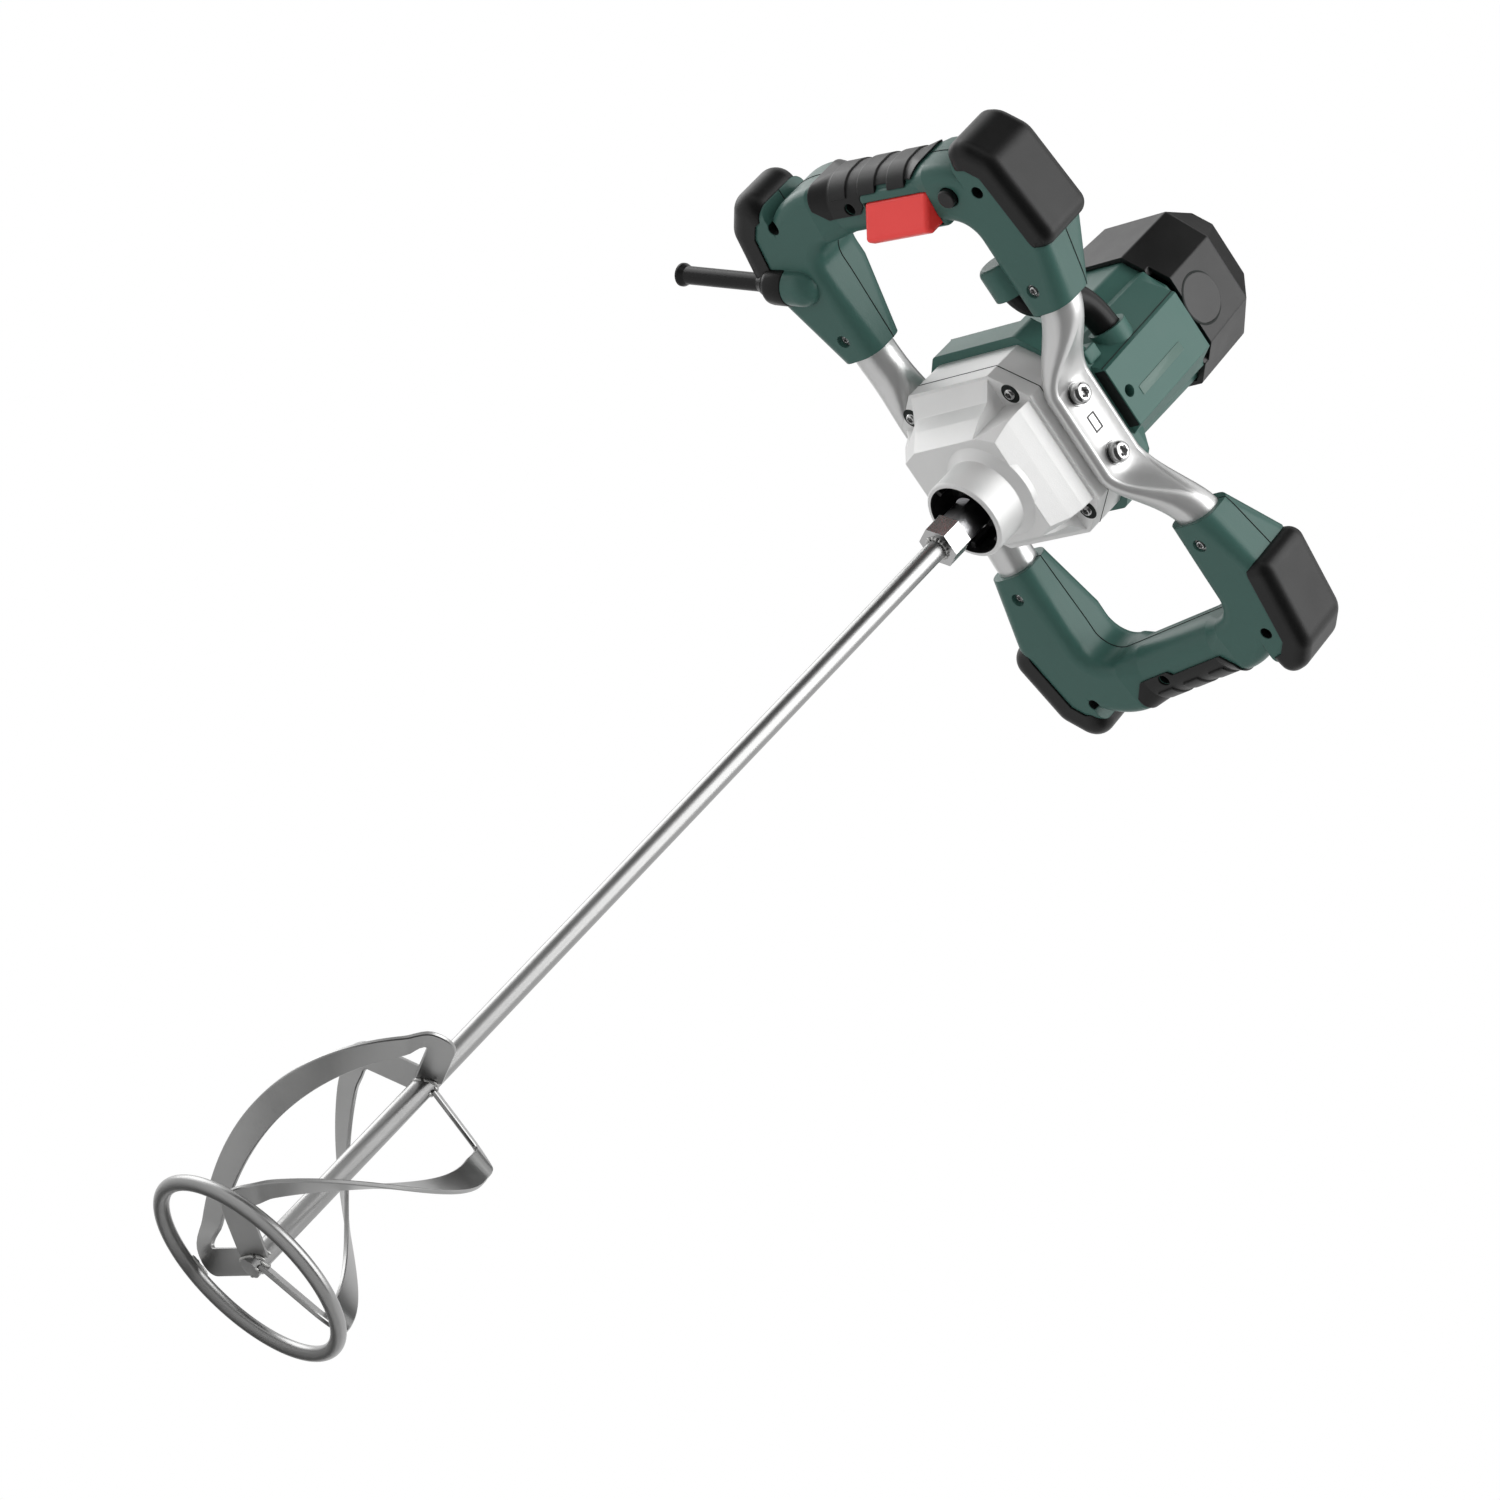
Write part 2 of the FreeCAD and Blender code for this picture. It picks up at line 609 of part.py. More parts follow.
def spindle_gear():
    wheel = gear(SPINDLE_MODULE, SPINDLE_TEETH, SPINDLE_GEAR_Z, SPINDLE_GEAR_W, (0.0, 0.0), IDLER_BEARING)
    return wheel.cut(cylinder(JOURNAL_R, SPINDLE_GEAR_Z, SPINDLE_GEAR_TOP))


def spindle_bearing():
    return ring(LOWER_BEARING_R, JOURNAL_R + SHAFT_CLEARANCE, LOWER_BEARING_Z, LOWER_BEARING_TOP)


def spindle_seal():
    return ring(LOWER_BEARING_R, JOURNAL_R + SHAFT_CLEARANCE, SEAL_Z, LOWER_BEARING_Z)


def spindle_needle_bearing():
    return ring(NEEDLE_R, SPINDLE_TOP_R + SHAFT_CLEARANCE, NEEDLE_Z, NEEDLE_TOP)


def idler_shaft():
    """Idler pinion and its shaft in one piece."""
    phase = IDLER_BEARING + 180.0 + 180.0 / IDLER_PINION_TEETH
    width = IDLER_GEAR_Z - SPINDLE_GEAR_Z - SWING_CLEARANCE
    pinion = gear(SPINDLE_MODULE, IDLER_PINION_TEETH, SPINDLE_GEAR_Z, width, IDLER_AT, phase)
    shaft = cylinder(IDLER_R, IDLER_LOWER_Z + AXIAL_CLEARANCE, IDLER_UPPER_Z + IDLER_BEARING_W, IDLER_AT)
    return fuse([pinion, shaft])


def idler_gear():
    wheel = gear(MOTOR_MODULE, IDLER_TEETH, IDLER_GEAR_Z, IDLER_GEAR_W, IDLER_AT, MOTOR_BEARING)
    return wheel.cut(cylinder(IDLER_R, IDLER_GEAR_Z, IDLER_GEAR_TOP, IDLER_AT))


def idler_bearings():
    bore = IDLER_R + SHAFT_CLEARANCE
    return Part.Compound([
        ring(IDLER_BEARING_R, bore, IDLER_LOWER_Z, IDLER_LOWER_Z + IDLER_BEARING_W, IDLER_AT),
        ring(IDLER_BEARING_R, bore, IDLER_UPPER_Z, IDLER_UPPER_Z + IDLER_BEARING_W, IDLER_AT),
    ])


# Motor heights that follow from the sizes above
STATOR_TOP = STATOR_Z + STATOR_W
COMMUTATOR_Z = BRUSH_Z - COMMUTATOR_W / 2
COMMUTATOR_TOP = BRUSH_Z + COMMUTATOR_W / 2
TOP_BEARING_Z = COMMUTATOR_TOP + COMMUTATOR_GAP
ARMATURE_TOP = TOP_BEARING_Z + MOTOR_BEARING_W
BASE_TOP = COVER_TOP + BASE_HEIGHT
CAP_HALF_X = BARREL_HALF_X + CAP_OVERHANG
CAP_HALF_Y = BARREL_HALF_Y + CAP_OVERHANG


def armature_shaft():
    """Armature shaft with the motor pinion cut on its lower end."""
    phase = MOTOR_BEARING + 180.0 + 180.0 / MOTOR_PINION_TEETH
    pinion = gear(MOTOR_MODULE, MOTOR_PINION_TEETH, IDLER_GEAR_Z - PINION_OVERRUN, IDLER_GEAR_W + 2 * PINION_OVERRUN,
                  MOTOR_AT, phase)
    shaft = cylinder(ARMATURE_SHAFT_R, IDLER_GEAR_TOP + PINION_OVERRUN, ARMATURE_TOP - AXIAL_CLEARANCE, MOTOR_AT)
    return fuse([pinion, shaft])


def armature_core():
    core = ring(ARMATURE_R, ARMATURE_SHAFT_R, STATOR_Z, STATOR_TOP, MOTOR_AT)
    slots = []
    for k in range(ARMATURE_SLOTS):
        slot = box(ARMATURE_R - ARMATURE_SLOT_DEPTH, ARMATURE_R + ARMATURE_SLOT_DEPTH, -ARMATURE_SLOT_W / 2,
                   ARMATURE_SLOT_W / 2, STATOR_Z, STATOR_TOP)
        slot.rotate(V(0, 0, 0), UP, 360.0 * k / ARMATURE_SLOTS)
        slot.translate(V(MOTOR_AT[0], MOTOR_AT[1], 0))
        slots.append(slot)
    winding = ring(ARMATURE_R - WINDING_INSET, ARMATURE_SHAFT_R, STATOR_TOP, STATOR_TOP + WINDING_RUN_OUT, MOTOR_AT)
    return fuse([core.cut(slots[0].multiFuse(slots[1:])), winding])


def commutator():
    return ring(COMMUTATOR_R, ARMATURE_SHAFT_R, COMMUTATOR_Z, COMMUTATOR_TOP, MOTOR_AT)


def fan():
    """Cooling fan: back plate, hub and straight radial blades."""
    plate = ring(FAN_R, ARMATURE_SHAFT_R, FAN_Z + FAN_W - FAN_PLATE_T, FAN_Z + FAN_W, MOTOR_AT)
    hub = ring(FAN_HUB_R, ARMATURE_SHAFT_R, FAN_Z, FAN_Z + FAN_W, MOTOR_AT)
    blades = []
    for k in range(FAN_BLADES):
        blade = box(FAN_HUB_R - FAN_BLADE_OVERLAP, FAN_R - FAN_BLADE_OVERLAP, -FAN_BLADE_T / 2, FAN_BLADE_T / 2,
                    FAN_Z, FAN_Z + FAN_W - FAN_PLATE_T + FAN_BLADE_OVERLAP)
        blade.rotate(V(0, 0, 0), UP, 360.0 * k / FAN_BLADES)
        blade.translate(V(MOTOR_AT[0], MOTOR_AT[1], 0))
        blades.append(blade)
    return fuse([plate, hub] + blades)


def motor_bearing(z0):
    return ring(MOTOR_BEARING_R, ARMATURE_SHAFT_R + SHAFT_CLEARANCE, z0, z0 + MOTOR_BEARING_W, MOTOR_AT)


def stator():
    """Field core with its two coils inside the bore's flanks."""
    core = ring(STATOR_R, STATOR_BORE_R, STATOR_Z, STATOR_TOP, MOTOR_AT)
    coil = ring(STATOR_R - COIL_INSET, STATOR_BORE_R + COIL_INSET, STATOR_Z - COIL_RUN_OUT,
                STATOR_TOP + COIL_RUN_OUT, MOTOR_AT)
    gap = box(-COIL_GAP / 2, COIL_GAP / 2, MOTOR_Y - STATOR_R, MOTOR_Y + STATOR_R, STATOR_Z - COIL_RUN_OUT,
              STATOR_TOP + COIL_RUN_OUT)
    return fuse([core, coil.cut(gap)])


def base_outline(grow=0.0):
    return octagon(BASE_HALF_X + grow, BASE_HALF_Y + grow, BASE_CUT, BASE_CUT, MOTOR_Y)


def barrel_outline(grow=0.0):
    return octagon(BARREL_HALF_X + grow, BARREL_HALF_Y + grow, BARREL_CUT, BARREL_CUT, MOTOR_Y)


def panel_block():
    """Raised front panel: a flat face with sloping flanks, leaning back towards the top."""
    root_y = MOTOR_Y + BARREL_HALF_Y - PANEL_ROOT_DEPTH
    sections = []
    top_y = MOTOR_Y + BARREL_HALF_Y + PANEL_TOP_PROUD
    for z, y in ((PANEL_BOTTOM, PANEL_Y_BOTTOM), (PANEL_TOP, PANEL_Y_TOP), (PANEL_TOP + PANEL_TOP_RUN, top_y)):
        outline = [(-PANEL_ROOT_HALF_W, root_y), (-PANEL_ROOT_HALF_W, root_y + PANEL_ROOT_T), (-PANEL_HALF_W, y),
                   (PANEL_HALF_W, y), (PANEL_ROOT_HALF_W, root_y + PANEL_ROOT_T), (PANEL_ROOT_HALF_W, root_y)]
        sections.append((outline, z))
    return stacked_loft(sections)


def motor_housing():
    """Moulded motor housing: wide base, octagonal barrel, front panel and bored inside."""
    shoulder = BASE_TOP - BASE_SHOULDER
    base = prism(base_outline(), COVER_TOP, shoulder)
    taper = stacked_loft([(base_outline(), shoulder), (barrel_outline(BASE_TAPER_GROW), BASE_TOP + BASE_SHOULDER)])
    barrel = prism(barrel_outline(), shoulder, BARREL_TOP)
    barrel = barrel.makeFillet(BARREL_EDGE_R, upright_edges(barrel))
    base = base.makeFillet(BARREL_EDGE_R, upright_edges(base))
    solid = fuse([base, taper, barrel, panel_block(), conduit_collar()])
    relief_top = PANEL_BOTTOM - RELIEF_DROP
    front_relief = box(-BASE_HALF_X, BASE_HALF_X, HOUSING_FRONT, HOUSING_FRONT + BASE_HALF_Y, COVER_TOP, relief_top)
    rear_relief = box(-BASE_HALF_X, BASE_HALF_X, HOUSING_REAR - BASE_HALF_Y, HOUSING_REAR, COVER_TOP, relief_top)
    cuts = [
        cylinder(FAN_R + SWING_CLEARANCE, COVER_TOP, FAN_Z + FAN_W + SWING_CLEARANCE, MOTOR_AT),
        cylinder(STATOR_R - HOUSING_WALL, COVER_TOP, BARREL_TOP, MOTOR_AT),
        cylinder(STATOR_R, STATOR_Z, BARREL_TOP, MOTOR_AT),
        cylinder_y(PANEL_HOLE_R, 0.0, PANEL_HOLE_Z, PANEL_Y_BOTTOM - PANEL_HOLE_DEPTH, PANEL_Y_BOTTOM),
        front_relief,
        rear_relief,
        conduit_body(),
    ]
    return solid.cut(cuts[0].multiFuse(cuts[1:]))


def brush_bracket():
    """Bracket under the end cap that seats the upper bearing and both brush tubes."""
    rim = ring(STATOR_R, STATOR_R - BRACKET_RIM, BARREL_TOP - BRACKET_RIM, BARREL_TOP, MOTOR_AT)
    half_tube = BRUSH_SIZE / 2 + BRUSH_TUBE_WALL
    outer_y = CAP_HALF_Y - CAP_RECESS - BRUSH_CAP_T
    post_inner = STATOR_R - BRACKET_RIM
    posts = []
    for sy in (1, -1):
        low, high = sorted((sy * (COMMUTATOR_R + BRUSH_TUBE_GAP), sy * outer_y))
        tube = box(-half_tube, half_tube, MOTOR_Y + low, MOTOR_Y + high, BRUSH_Z - half_tube, BRUSH_Z + half_tube)
        low, high = sorted((sy * post_inner, sy * (post_inner + BRACKET_POST)))
        leg = box(-half_tube, half_tube, MOTOR_Y + low, MOTOR_Y + high, BARREL_TOP - BRUSH_TUBE_WALL, BRUSH_Z)
        low, high = sorted((sy * (MOTOR_BEARING_R + SLIDE_CLEARANCE), sy * (post_inner + BRACKET_POST)))
        arm = box(-half_tube, half_tube, MOTOR_Y + low, MOTOR_Y + high, TOP_BEARING_Z, ARMATURE_TOP + BRUSH_TUBE_WALL)
        low, high = sorted((sy * post_inner, sy * (post_inner + BRACKET_POST)))
        post = box(-half_tube, half_tube, MOTOR_Y + low, MOTOR_Y + high, BRUSH_Z, ARMATURE_TOP)
        posts += [tube, leg, arm, post]
    seat = cylinder(MOTOR_BEARING_R + HOUSING_WALL, TOP_BEARING_Z, ARMATURE_TOP + BRUSH_TUBE_WALL, MOTOR_AT)
    solid = fuse([rim, seat] + posts)
    half = BRUSH_SIZE / 2
    slot = box(-half, half, MOTOR_Y - CAP_HALF_Y, MOTOR_Y + CAP_HALF_Y, BRUSH_Z - half, BRUSH_Z + half)
    bore = cylinder(MOTOR_BEARING_R, TOP_BEARING_Z, ARMATURE_TOP, MOTOR_AT)
    return solid.cut(slot.fuse(bore))


def carbon_brush(sy):
    low, high = sorted((sy * (COMMUTATOR_R + SLIDE_CLEARANCE), sy * (COMMUTATOR_R + BRUSH_LENGTH)))
    half = BRUSH_SIZE / 2
    return box(-half, half, MOTOR_Y + low, MOTOR_Y + high, BRUSH_Z - half, BRUSH_Z + half)


def motor_end_cap():
    """Faceted end cap over the brush gear, open below, with a recess round each brush cap."""
    outer = octagon(CAP_HALF_X, CAP_HALF_Y, BARREL_CUT, BARREL_CUT, MOTOR_Y)
    shoulder = octagon(CAP_HALF_X - CAP_SHOULDER_INSET_X, CAP_HALF_Y - CAP_SHOULDER_INSET_Y, BARREL_CUT,
                       CAP_SHOULDER_CUT, MOTOR_Y)
    crown = octagon(CAP_HALF_X - CAP_TOP_INSET, CAP_HALF_Y - CAP_TOP_INSET_Y, CAP_TOP_CUT, CAP_TOP_CUT, MOTOR_Y)
    solid = stacked_loft([(outer, CAP_BOTTOM), (shoulder, CAP_SHOULDER), (crown, CAP_TOP)])
    solid = solid.makeFillet(CAP_EDGE_R, [e for e in solid.Edges if e.BoundBox.ZMax > CAP_BOTTOM + CAP_EDGE_R])
    inner = octagon(CAP_HALF_X - CAP_WALL, CAP_HALF_Y - CAP_WALL, BARREL_CUT, BARREL_CUT, MOTOR_Y)
    inner_shoulder = octagon(CAP_HALF_X - CAP_WALL - CAP_SHOULDER_INSET_X,
                             CAP_HALF_Y - CAP_WALL - CAP_SHOULDER_INSET_Y, BARREL_CUT, CAP_SHOULDER_CUT, MOTOR_Y)
    hollow = stacked_loft([(inner, CAP_BOTTOM), (inner_shoulder, CAP_SHOULDER - CAP_WALL)])
    cuts = [hollow]
    for sy in (1, -1):
        low, high = sorted((sy * (CAP_HALF_Y - BRUSH_CAP_REACH), sy * (CAP_HALF_Y + CAP_OVERHANG)))
        cuts.append(cylinder_y(BRUSH_CAP_R, 0.0, BRUSH_Z, MOTOR_Y + low, MOTOR_Y + high))
    notch = box(-PANEL_ROOT_HALF_W, PANEL_ROOT_HALF_W, MOTOR_Y + BARREL_HALF_Y - CAP_NOTCH_DEPTH,
                MOTOR_Y + CAP_HALF_Y + CAP_OVERHANG, CAP_BOTTOM, PANEL_TOP + CAP_NOTCH_RISE)
    cuts.append(notch)
    return solid.cut(cuts[0].multiFuse(cuts[1:]))


def brush_cap(sy):
    """Round screw cap that closes one brush tube, slotted for a coin."""
    outer_y = CAP_HALF_Y - CAP_RECESS
    inner_y = outer_y - BRUSH_CAP_T
    low, high = sorted((sy * inner_y, sy * outer_y))
    return cylinder_y(BRUSH_CAP_R - BRUSH_CAP_GAP, 0.0, BRUSH_Z, MOTOR_Y + low, MOTOR_Y + high)


# Tube frame

def smooth(a, b, x):
    t = min(max((x - a) / (b - a), 0.0), 1.0)
    return t * t * (3.0 - 2.0 * t)


Tube = namedtuple("Tube", "mid_y end_y end_z side end_x")
FRONT_TUBE = Tube(HOUSING_FRONT + PAD_PROUD + TUBE_FLAT_T / 2, TUBE_FRONT_END_Y, TUBE_Z + TUBE_FRONT_RISE, 1,
                  SLEEVE_FRONT_X + TUBE_INSERT)
REAR_TUBE = Tube(HOUSING_REAR - PAD_PROUD - TUBE_FLAT_T / 2, TUBE_REAR_END_Y, TUBE_Z + TUBE_REAR_RISE, -1,
                 SLEEVE_REAR_X + TUBE_INSERT)
TUBE_FACE = TUBE_FLAT_T / 2 - TUBE_DISH


def tube_centre(tube, x):
    bend = smooth(TUBE_FLAT_HALF - BEND_LEAD, TUBE_BEND_END + BEND_RUN_OUT, x)
    return tube.mid_y + (tube.end_y - tube.mid_y) * bend, TUBE_Z + (tube.end_z - TUBE_Z) * bend


def tube_section(tube, x, shrink):
    """Closed outline across the tube at x: flat and dished in the middle, round at the ends."""
    round_share = smooth(TUBE_FLAT_HALF, TUBE_BEND_END - BEND_RUN_OUT, x)
    centre_y, centre_z = tube_centre(tube, x)
    step = 0.1
    slant = math.hypot(1.0, (tube_centre(tube, x + step)[0] - centre_y) / step)
    thick = TUBE_FLAT_T / 2 + (TUBE_R - TUBE_FLAT_T / 2) * round_share - shrink
    half_w = TUBE_FLAT_W / 2 + (TUBE_R - TUBE_FLAT_W / 2) * round_share - shrink
    half_t = thick * slant
    dish = TUBE_DISH * (1.0 - round_share)
    edge_w = TUBE_ROUNDNESS * min(half_w, thick)
    edge_t = TUBE_ROUNDNESS * half_t
    corner_w = half_w - edge_w * (1.0 - math.sqrt(0.5))
    corner_t = half_t - edge_t * (1.0 - math.sqrt(0.5))
    flat_w = half_w - edge_w
    flat_t = half_t - edge_t

    def at(depth, height):
        return V(x, centre_y + tube.side * depth, centre_z + height)

    front = Part.BezierCurve()
    front.setPoles([at(half_t, -flat_w), at(half_t - 2.0 * dish, 0.0), at(half_t, flat_w)])
    rear = Part.BezierCurve()
    rear.setPoles([at(-half_t, flat_w), at(-half_t, 0.0), at(-half_t, -flat_w)])
    return Part.Wire([
        front.toShape(),
        Part.Arc(at(half_t, flat_w), at(corner_t, corner_w), at(flat_t, half_w)).toShape(),
        Part.LineSegment(at(flat_t, half_w), at(-flat_t, half_w)).toShape(),
        Part.Arc(at(-flat_t, half_w), at(-corner_t, corner_w), at(-half_t, flat_w)).toShape(),
        rear.toShape(),
        Part.Arc(at(-half_t, -flat_w), at(-corner_t, -corner_w), at(-flat_t, -half_w)).toShape(),
        Part.LineSegment(at(-flat_t, -half_w), at(flat_t, -half_w)).toShape(),
        Part.Arc(at(flat_t, -half_w), at(corner_t, -corner_w), at(half_t, -flat_w)).toShape(),
    ])


def tube_solid(tube, shrink):
    """Flat middle, a drawn transition through each bend, and a straight round end."""
    last_bend = TUBE_BEND_END + BEND_RUN_OUT
    pitch = (last_bend - TUBE_FLAT_HALF) / (BEND_STATIONS - 1)
    outlines = [tube_section(tube, TUBE_FLAT_HALF + pitch * k, shrink) for k in range(BEND_STATIONS)]
    middle = Part.Face(outlines[0]).extrude(V(-TUBE_FLAT_HALF, 0, 0))
    bend = Part.makeLoft(outlines, True, False)
    end = Part.Face(outlines[-1]).extrude(V(tube.end_x - last_bend, 0, 0))
    half = [middle, bend, end]
    return fuse(half + [mirror_x(piece) for piece in half])


def frame_tube(tube):
    hollow = tube_solid(tube, 0.0).cut(tube_solid(tube, TUBE_WALL))
    reach = 2.0 * TUBE_FLAT_T
    holes = []
    for sx in (1, -1):
        holes.append(cylinder_y(FRAME_SCREW_R, sx * FRAME_SCREW_X, TUBE_Z, tube.mid_y - reach, tube.mid_y + reach))
    screws = leg_screws()
    return hollow.cut(holes[0].multiFuse([holes[1], frame_washers(tube), screws, mirror_x(screws)]))


def frame_washers(tube):
    face = tube.mid_y + tube.side * TUBE_FACE
    rings = []
    for sx in (1, -1):
        x = sx * FRAME_SCREW_X
        disc = cylinder_y(WASHER_R, x, TUBE_Z, face, face + tube.side * WASHER_T)
        hole = cylinder_y(FRAME_SCREW_R, x, TUBE_Z, face - 2.0 * WASHER_T, face + 2.0 * WASHER_T)
        rings.append(disc.cut(hole))
    return Part.Compound(rings)


def frame_screws(tube):
    """Pan-head star-drive screws, seated on their washers."""
    side = tube.side
    face = tube.mid_y + side * (TUBE_FACE + WASHER_T)
    tip = tube.mid_y - side * (TUBE_FLAT_T / 2 + FRAME_SCREW_BITE)
    screws = []
    for sx in (1, -1):
        x = sx * FRAME_SCREW_X
        shank = cylinder_y(FRAME_SCREW_R, x, TUBE_Z, tip, face)
        head = cylinder_y(FRAME_HEAD_R, x, TUBE_Z, face, face + side * FRAME_HEAD_H)
        top = face + side * FRAME_HEAD_H
        rim = [e for e in head.Edges if e.BoundBox.YLength < 1e-6 and abs(e.BoundBox.YMax - top) < 1e-6]
        head = head.makeFillet(FRAME_HEAD_EDGE_R, rim)
        recess = cylinder_y(FRAME_RECESS_R, x, TUBE_Z, top - side * FRAME_RECESS_H, top)
        screws.append(fuse([shank, head]).cut(recess))
    return Part.Compound(screws)


# Handles

def rounded_section(origin, across, inner, outer, low, high, edge_r):
    """Rounded rectangle standing on the line from origin along across, between two heights."""
    def at(u, z):
        return V(origin[0] + across[0] * u, origin[1] + across[1] * u, z)

    r = edge_r
    k = r * (1.0 - math.sqrt(0.5))
    lines = [(at(inner + r, low), at(outer - r, low)), (at(outer, low + r), at(outer, high - r)),
             (at(outer - r, high), at(inner + r, high)), (at(inner, high - r), at(inner, low + r))]
    middles = [at(outer - k, low + k), at(outer - k, high - k), at(inner + k, high - k), at(inner + k, low + k)]
    edges = []
    for n in range(4):
        edges.append(Part.LineSegment(*lines[n]).toShape())
        edges.append(Part.Arc(lines[n][1], middles[n], lines[(n + 1) % 4][0]).toShape())
    return Part.Wire(edges)


# Places that follow from the handle sizes
LEG_TOP = HANDLE_FLOOR + LEG_HEIGHT
PARTING_Z = HANDLE_FLOOR + PARTING_RISE
GRIP_LOW = HANDLE_FLOOR + GRIP_LIFT
GRIP_HIGH = GRIP_LOW + GRIP_HEIGHT
CORNER_OUTER_R = CORNER_INNER_R + GRIP_WIDTH
FRONT_CENTRE = (GRIP_AXIS_FRONT_X - CORNER_INNER_R - GRIP_WIDTH / 2, LEG_INNER_FRONT_Y - CORNER_INNER_R)
REAR_CENTRE = (GRIP_AXIS_REAR_X - CORNER_INNER_R - GRIP_WIDTH / 2, LEG_INNER_REAR_Y + CORNER_INNER_R)
GRIP_RUN = math.hypot(REAR_CENTRE[0] - FRONT_CENTRE[0], REAR_CENTRE[1] - FRONT_CENTRE[1])
GRIP_TURN = math.degrees(math.atan2(REAR_CENTRE[0] - FRONT_CENTRE[0], FRONT_CENTRE[1] - REAR_CENTRE[1]))


def tilted(shape):
    copy = shape.copy()
    copy.rotate(V(0, HANDLE_PIVOT_Y, HANDLE_PIVOT_Z), V(1, 0, 0), HANDLE_TILT)
    return copy


def untilted(point):
    pivot = V(0, HANDLE_PIVOT_Y, HANDLE_PIVOT_Z)
    return pivot + FreeCAD.Rotation(V(1, 0, 0), -HANDLE_TILT).multVec(point - pivot)


def in_grip(shape):
    """Move a shape drawn about the grip's own axes (x outwards, y forwards) to its place."""
    placed = shape.copy()
    placed.rotate(V(0, 0, 0), UP, GRIP_TURN)
    placed.translate(V(FRONT_CENTRE[0], FRONT_CENTRE[1], 0))
    return placed


def handle_leg(tube, centre, width, full_x, sweep):
    """Tube sleeve, tapering leg and rounded corner at one end of the grip."""
    across = (0.0, tube.side)
    sleeve_x = tube.end_x - TUBE_INSERT
    seat = untilted(V(sleeve_x, tube.end_y, tube.end_z))
    half = SLEEVE_SIZE / 2
    sleeve = rounded_section((sleeve_x, seat.y), across, -half, half, seat.z - half, seat.z + half, SLEEVE_EDGE_R)
    full = rounded_section((full_x, centre[1]), across, CORNER_INNER_R, CORNER_INNER_R + width,
                           HANDLE_FLOOR, LEG_TOP, LEG_EDGE_R)
    corner = rounded_section(centre, across, CORNER_INNER_R, CORNER_OUTER_R, HANDLE_FLOOR, LEG_TOP, LEG_EDGE_R)
    bend = Part.Face(corner).revolve(V(centre[0], centre[1], 0), UP, sweep)
    return [Part.makeLoft([sleeve, full, corner], True, True), bend]


def grip_loft(grow=0.0):
    """Grip between the two corners, its ends drawn out to the size of the legs."""
    stations = [
        (0.0, HANDLE_FLOOR, LEG_TOP, LEG_EDGE_R),
        (-GRIP_NECK, GRIP_LOW, GRIP_HIGH, GRIP_EDGE_R),
        (GRIP_NECK - GRIP_RUN, GRIP_LOW, GRIP_HIGH, GRIP_EDGE_R),
        (-GRIP_RUN, HANDLE_FLOOR, LEG_TOP, LEG_EDGE_R),
    ]
    sections = []
    for y, low, high, edge_r in stations:
        sections.append(rounded_section((0.0, y), (1.0, 0.0), CORNER_INNER_R - grow, CORNER_OUTER_R + grow,
                                        low - grow, high + grow, edge_r + grow))
    return in_grip(Part.makeLoft(sections, True, True))


def offset_path(path, distance):
    """Parallel copy of an open path, moved to its left."""
    normals = []
    for (x0, y0), (x1, y1) in zip(path, path[1:]):
        run = math.hypot(x1 - x0, y1 - y0)
        normals.append(((y0 - y1) / run, (x1 - x0) / run))
    moved = []
    for n, (x, y) in enumerate(path):
        before = normals[max(n - 1, 0)]
        after = normals[min(n, len(normals) - 1)]
        scale = distance / (1.0 + before[0] * after[0] + before[1] * after[1])
        moved.append((x + scale * (before[0] + after[0]), y + scale * (before[1] + after[1])))
    return moved


def bumper_seat(centre, side, width, start_x):
    """Line on which a bumper meets its handle, from the leg round the outside of the corner."""
    reach = CORNER_OUTER_R
    return [
        (start_x, centre[1] + side * (CORNER_INNER_R + width)),
        (centre[0] + reach - BUMPER_SEAT_X, centre[1] + side * reach),
        (centre[0] + reach - BUMPER_SEAT_KNEE[0], centre[1] + side * (reach - BUMPER_SEAT_KNEE[1])),
        (centre[0] + reach, centre[1] + side * (reach - BUMPER_SEAT_Y)),
    ]


def edges_at(solid, places):
    """Upright edges of a prism that stand on the given points of its plan."""
    found = []
    for edge in upright_edges(solid):
        at = edge.CenterOfMass
        if any(math.hypot(at.x - x, at.y - y) < 0.01 for x, y in places):
            found.append(edge)
    return found


def flat_edges(solid, path, near, far):
    """Level edges of a prism whose distance from a path in its plan lies between two limits."""
    found = []
    for edge in solid.Edges:
        line = Part.makePolygon([V(x, y, edge.CenterOfMass.z) for x, y in path])
        if edge.BoundBox.ZLength < 1e-6 and near <= line.distToShape(Part.Vertex(edge.CenterOfMass))[0] <= far:
            found.append(edge)
    return found


def corner_block(seat, side):
    """Square outer corner that carries a bumper, rounded like the leg."""
    inside = [(seat[-1][0] - GRIP_WIDTH / 2, seat[-1][1]), (seat[0][0], seat[0][1] - side * GRIP_WIDTH / 2)]
    block = prism(seat + inside, HANDLE_FLOOR, LEG_TOP)
    return block.makeFillet(LEG_EDGE_R, flat_edges(block, seat, 0.0, 0.01))


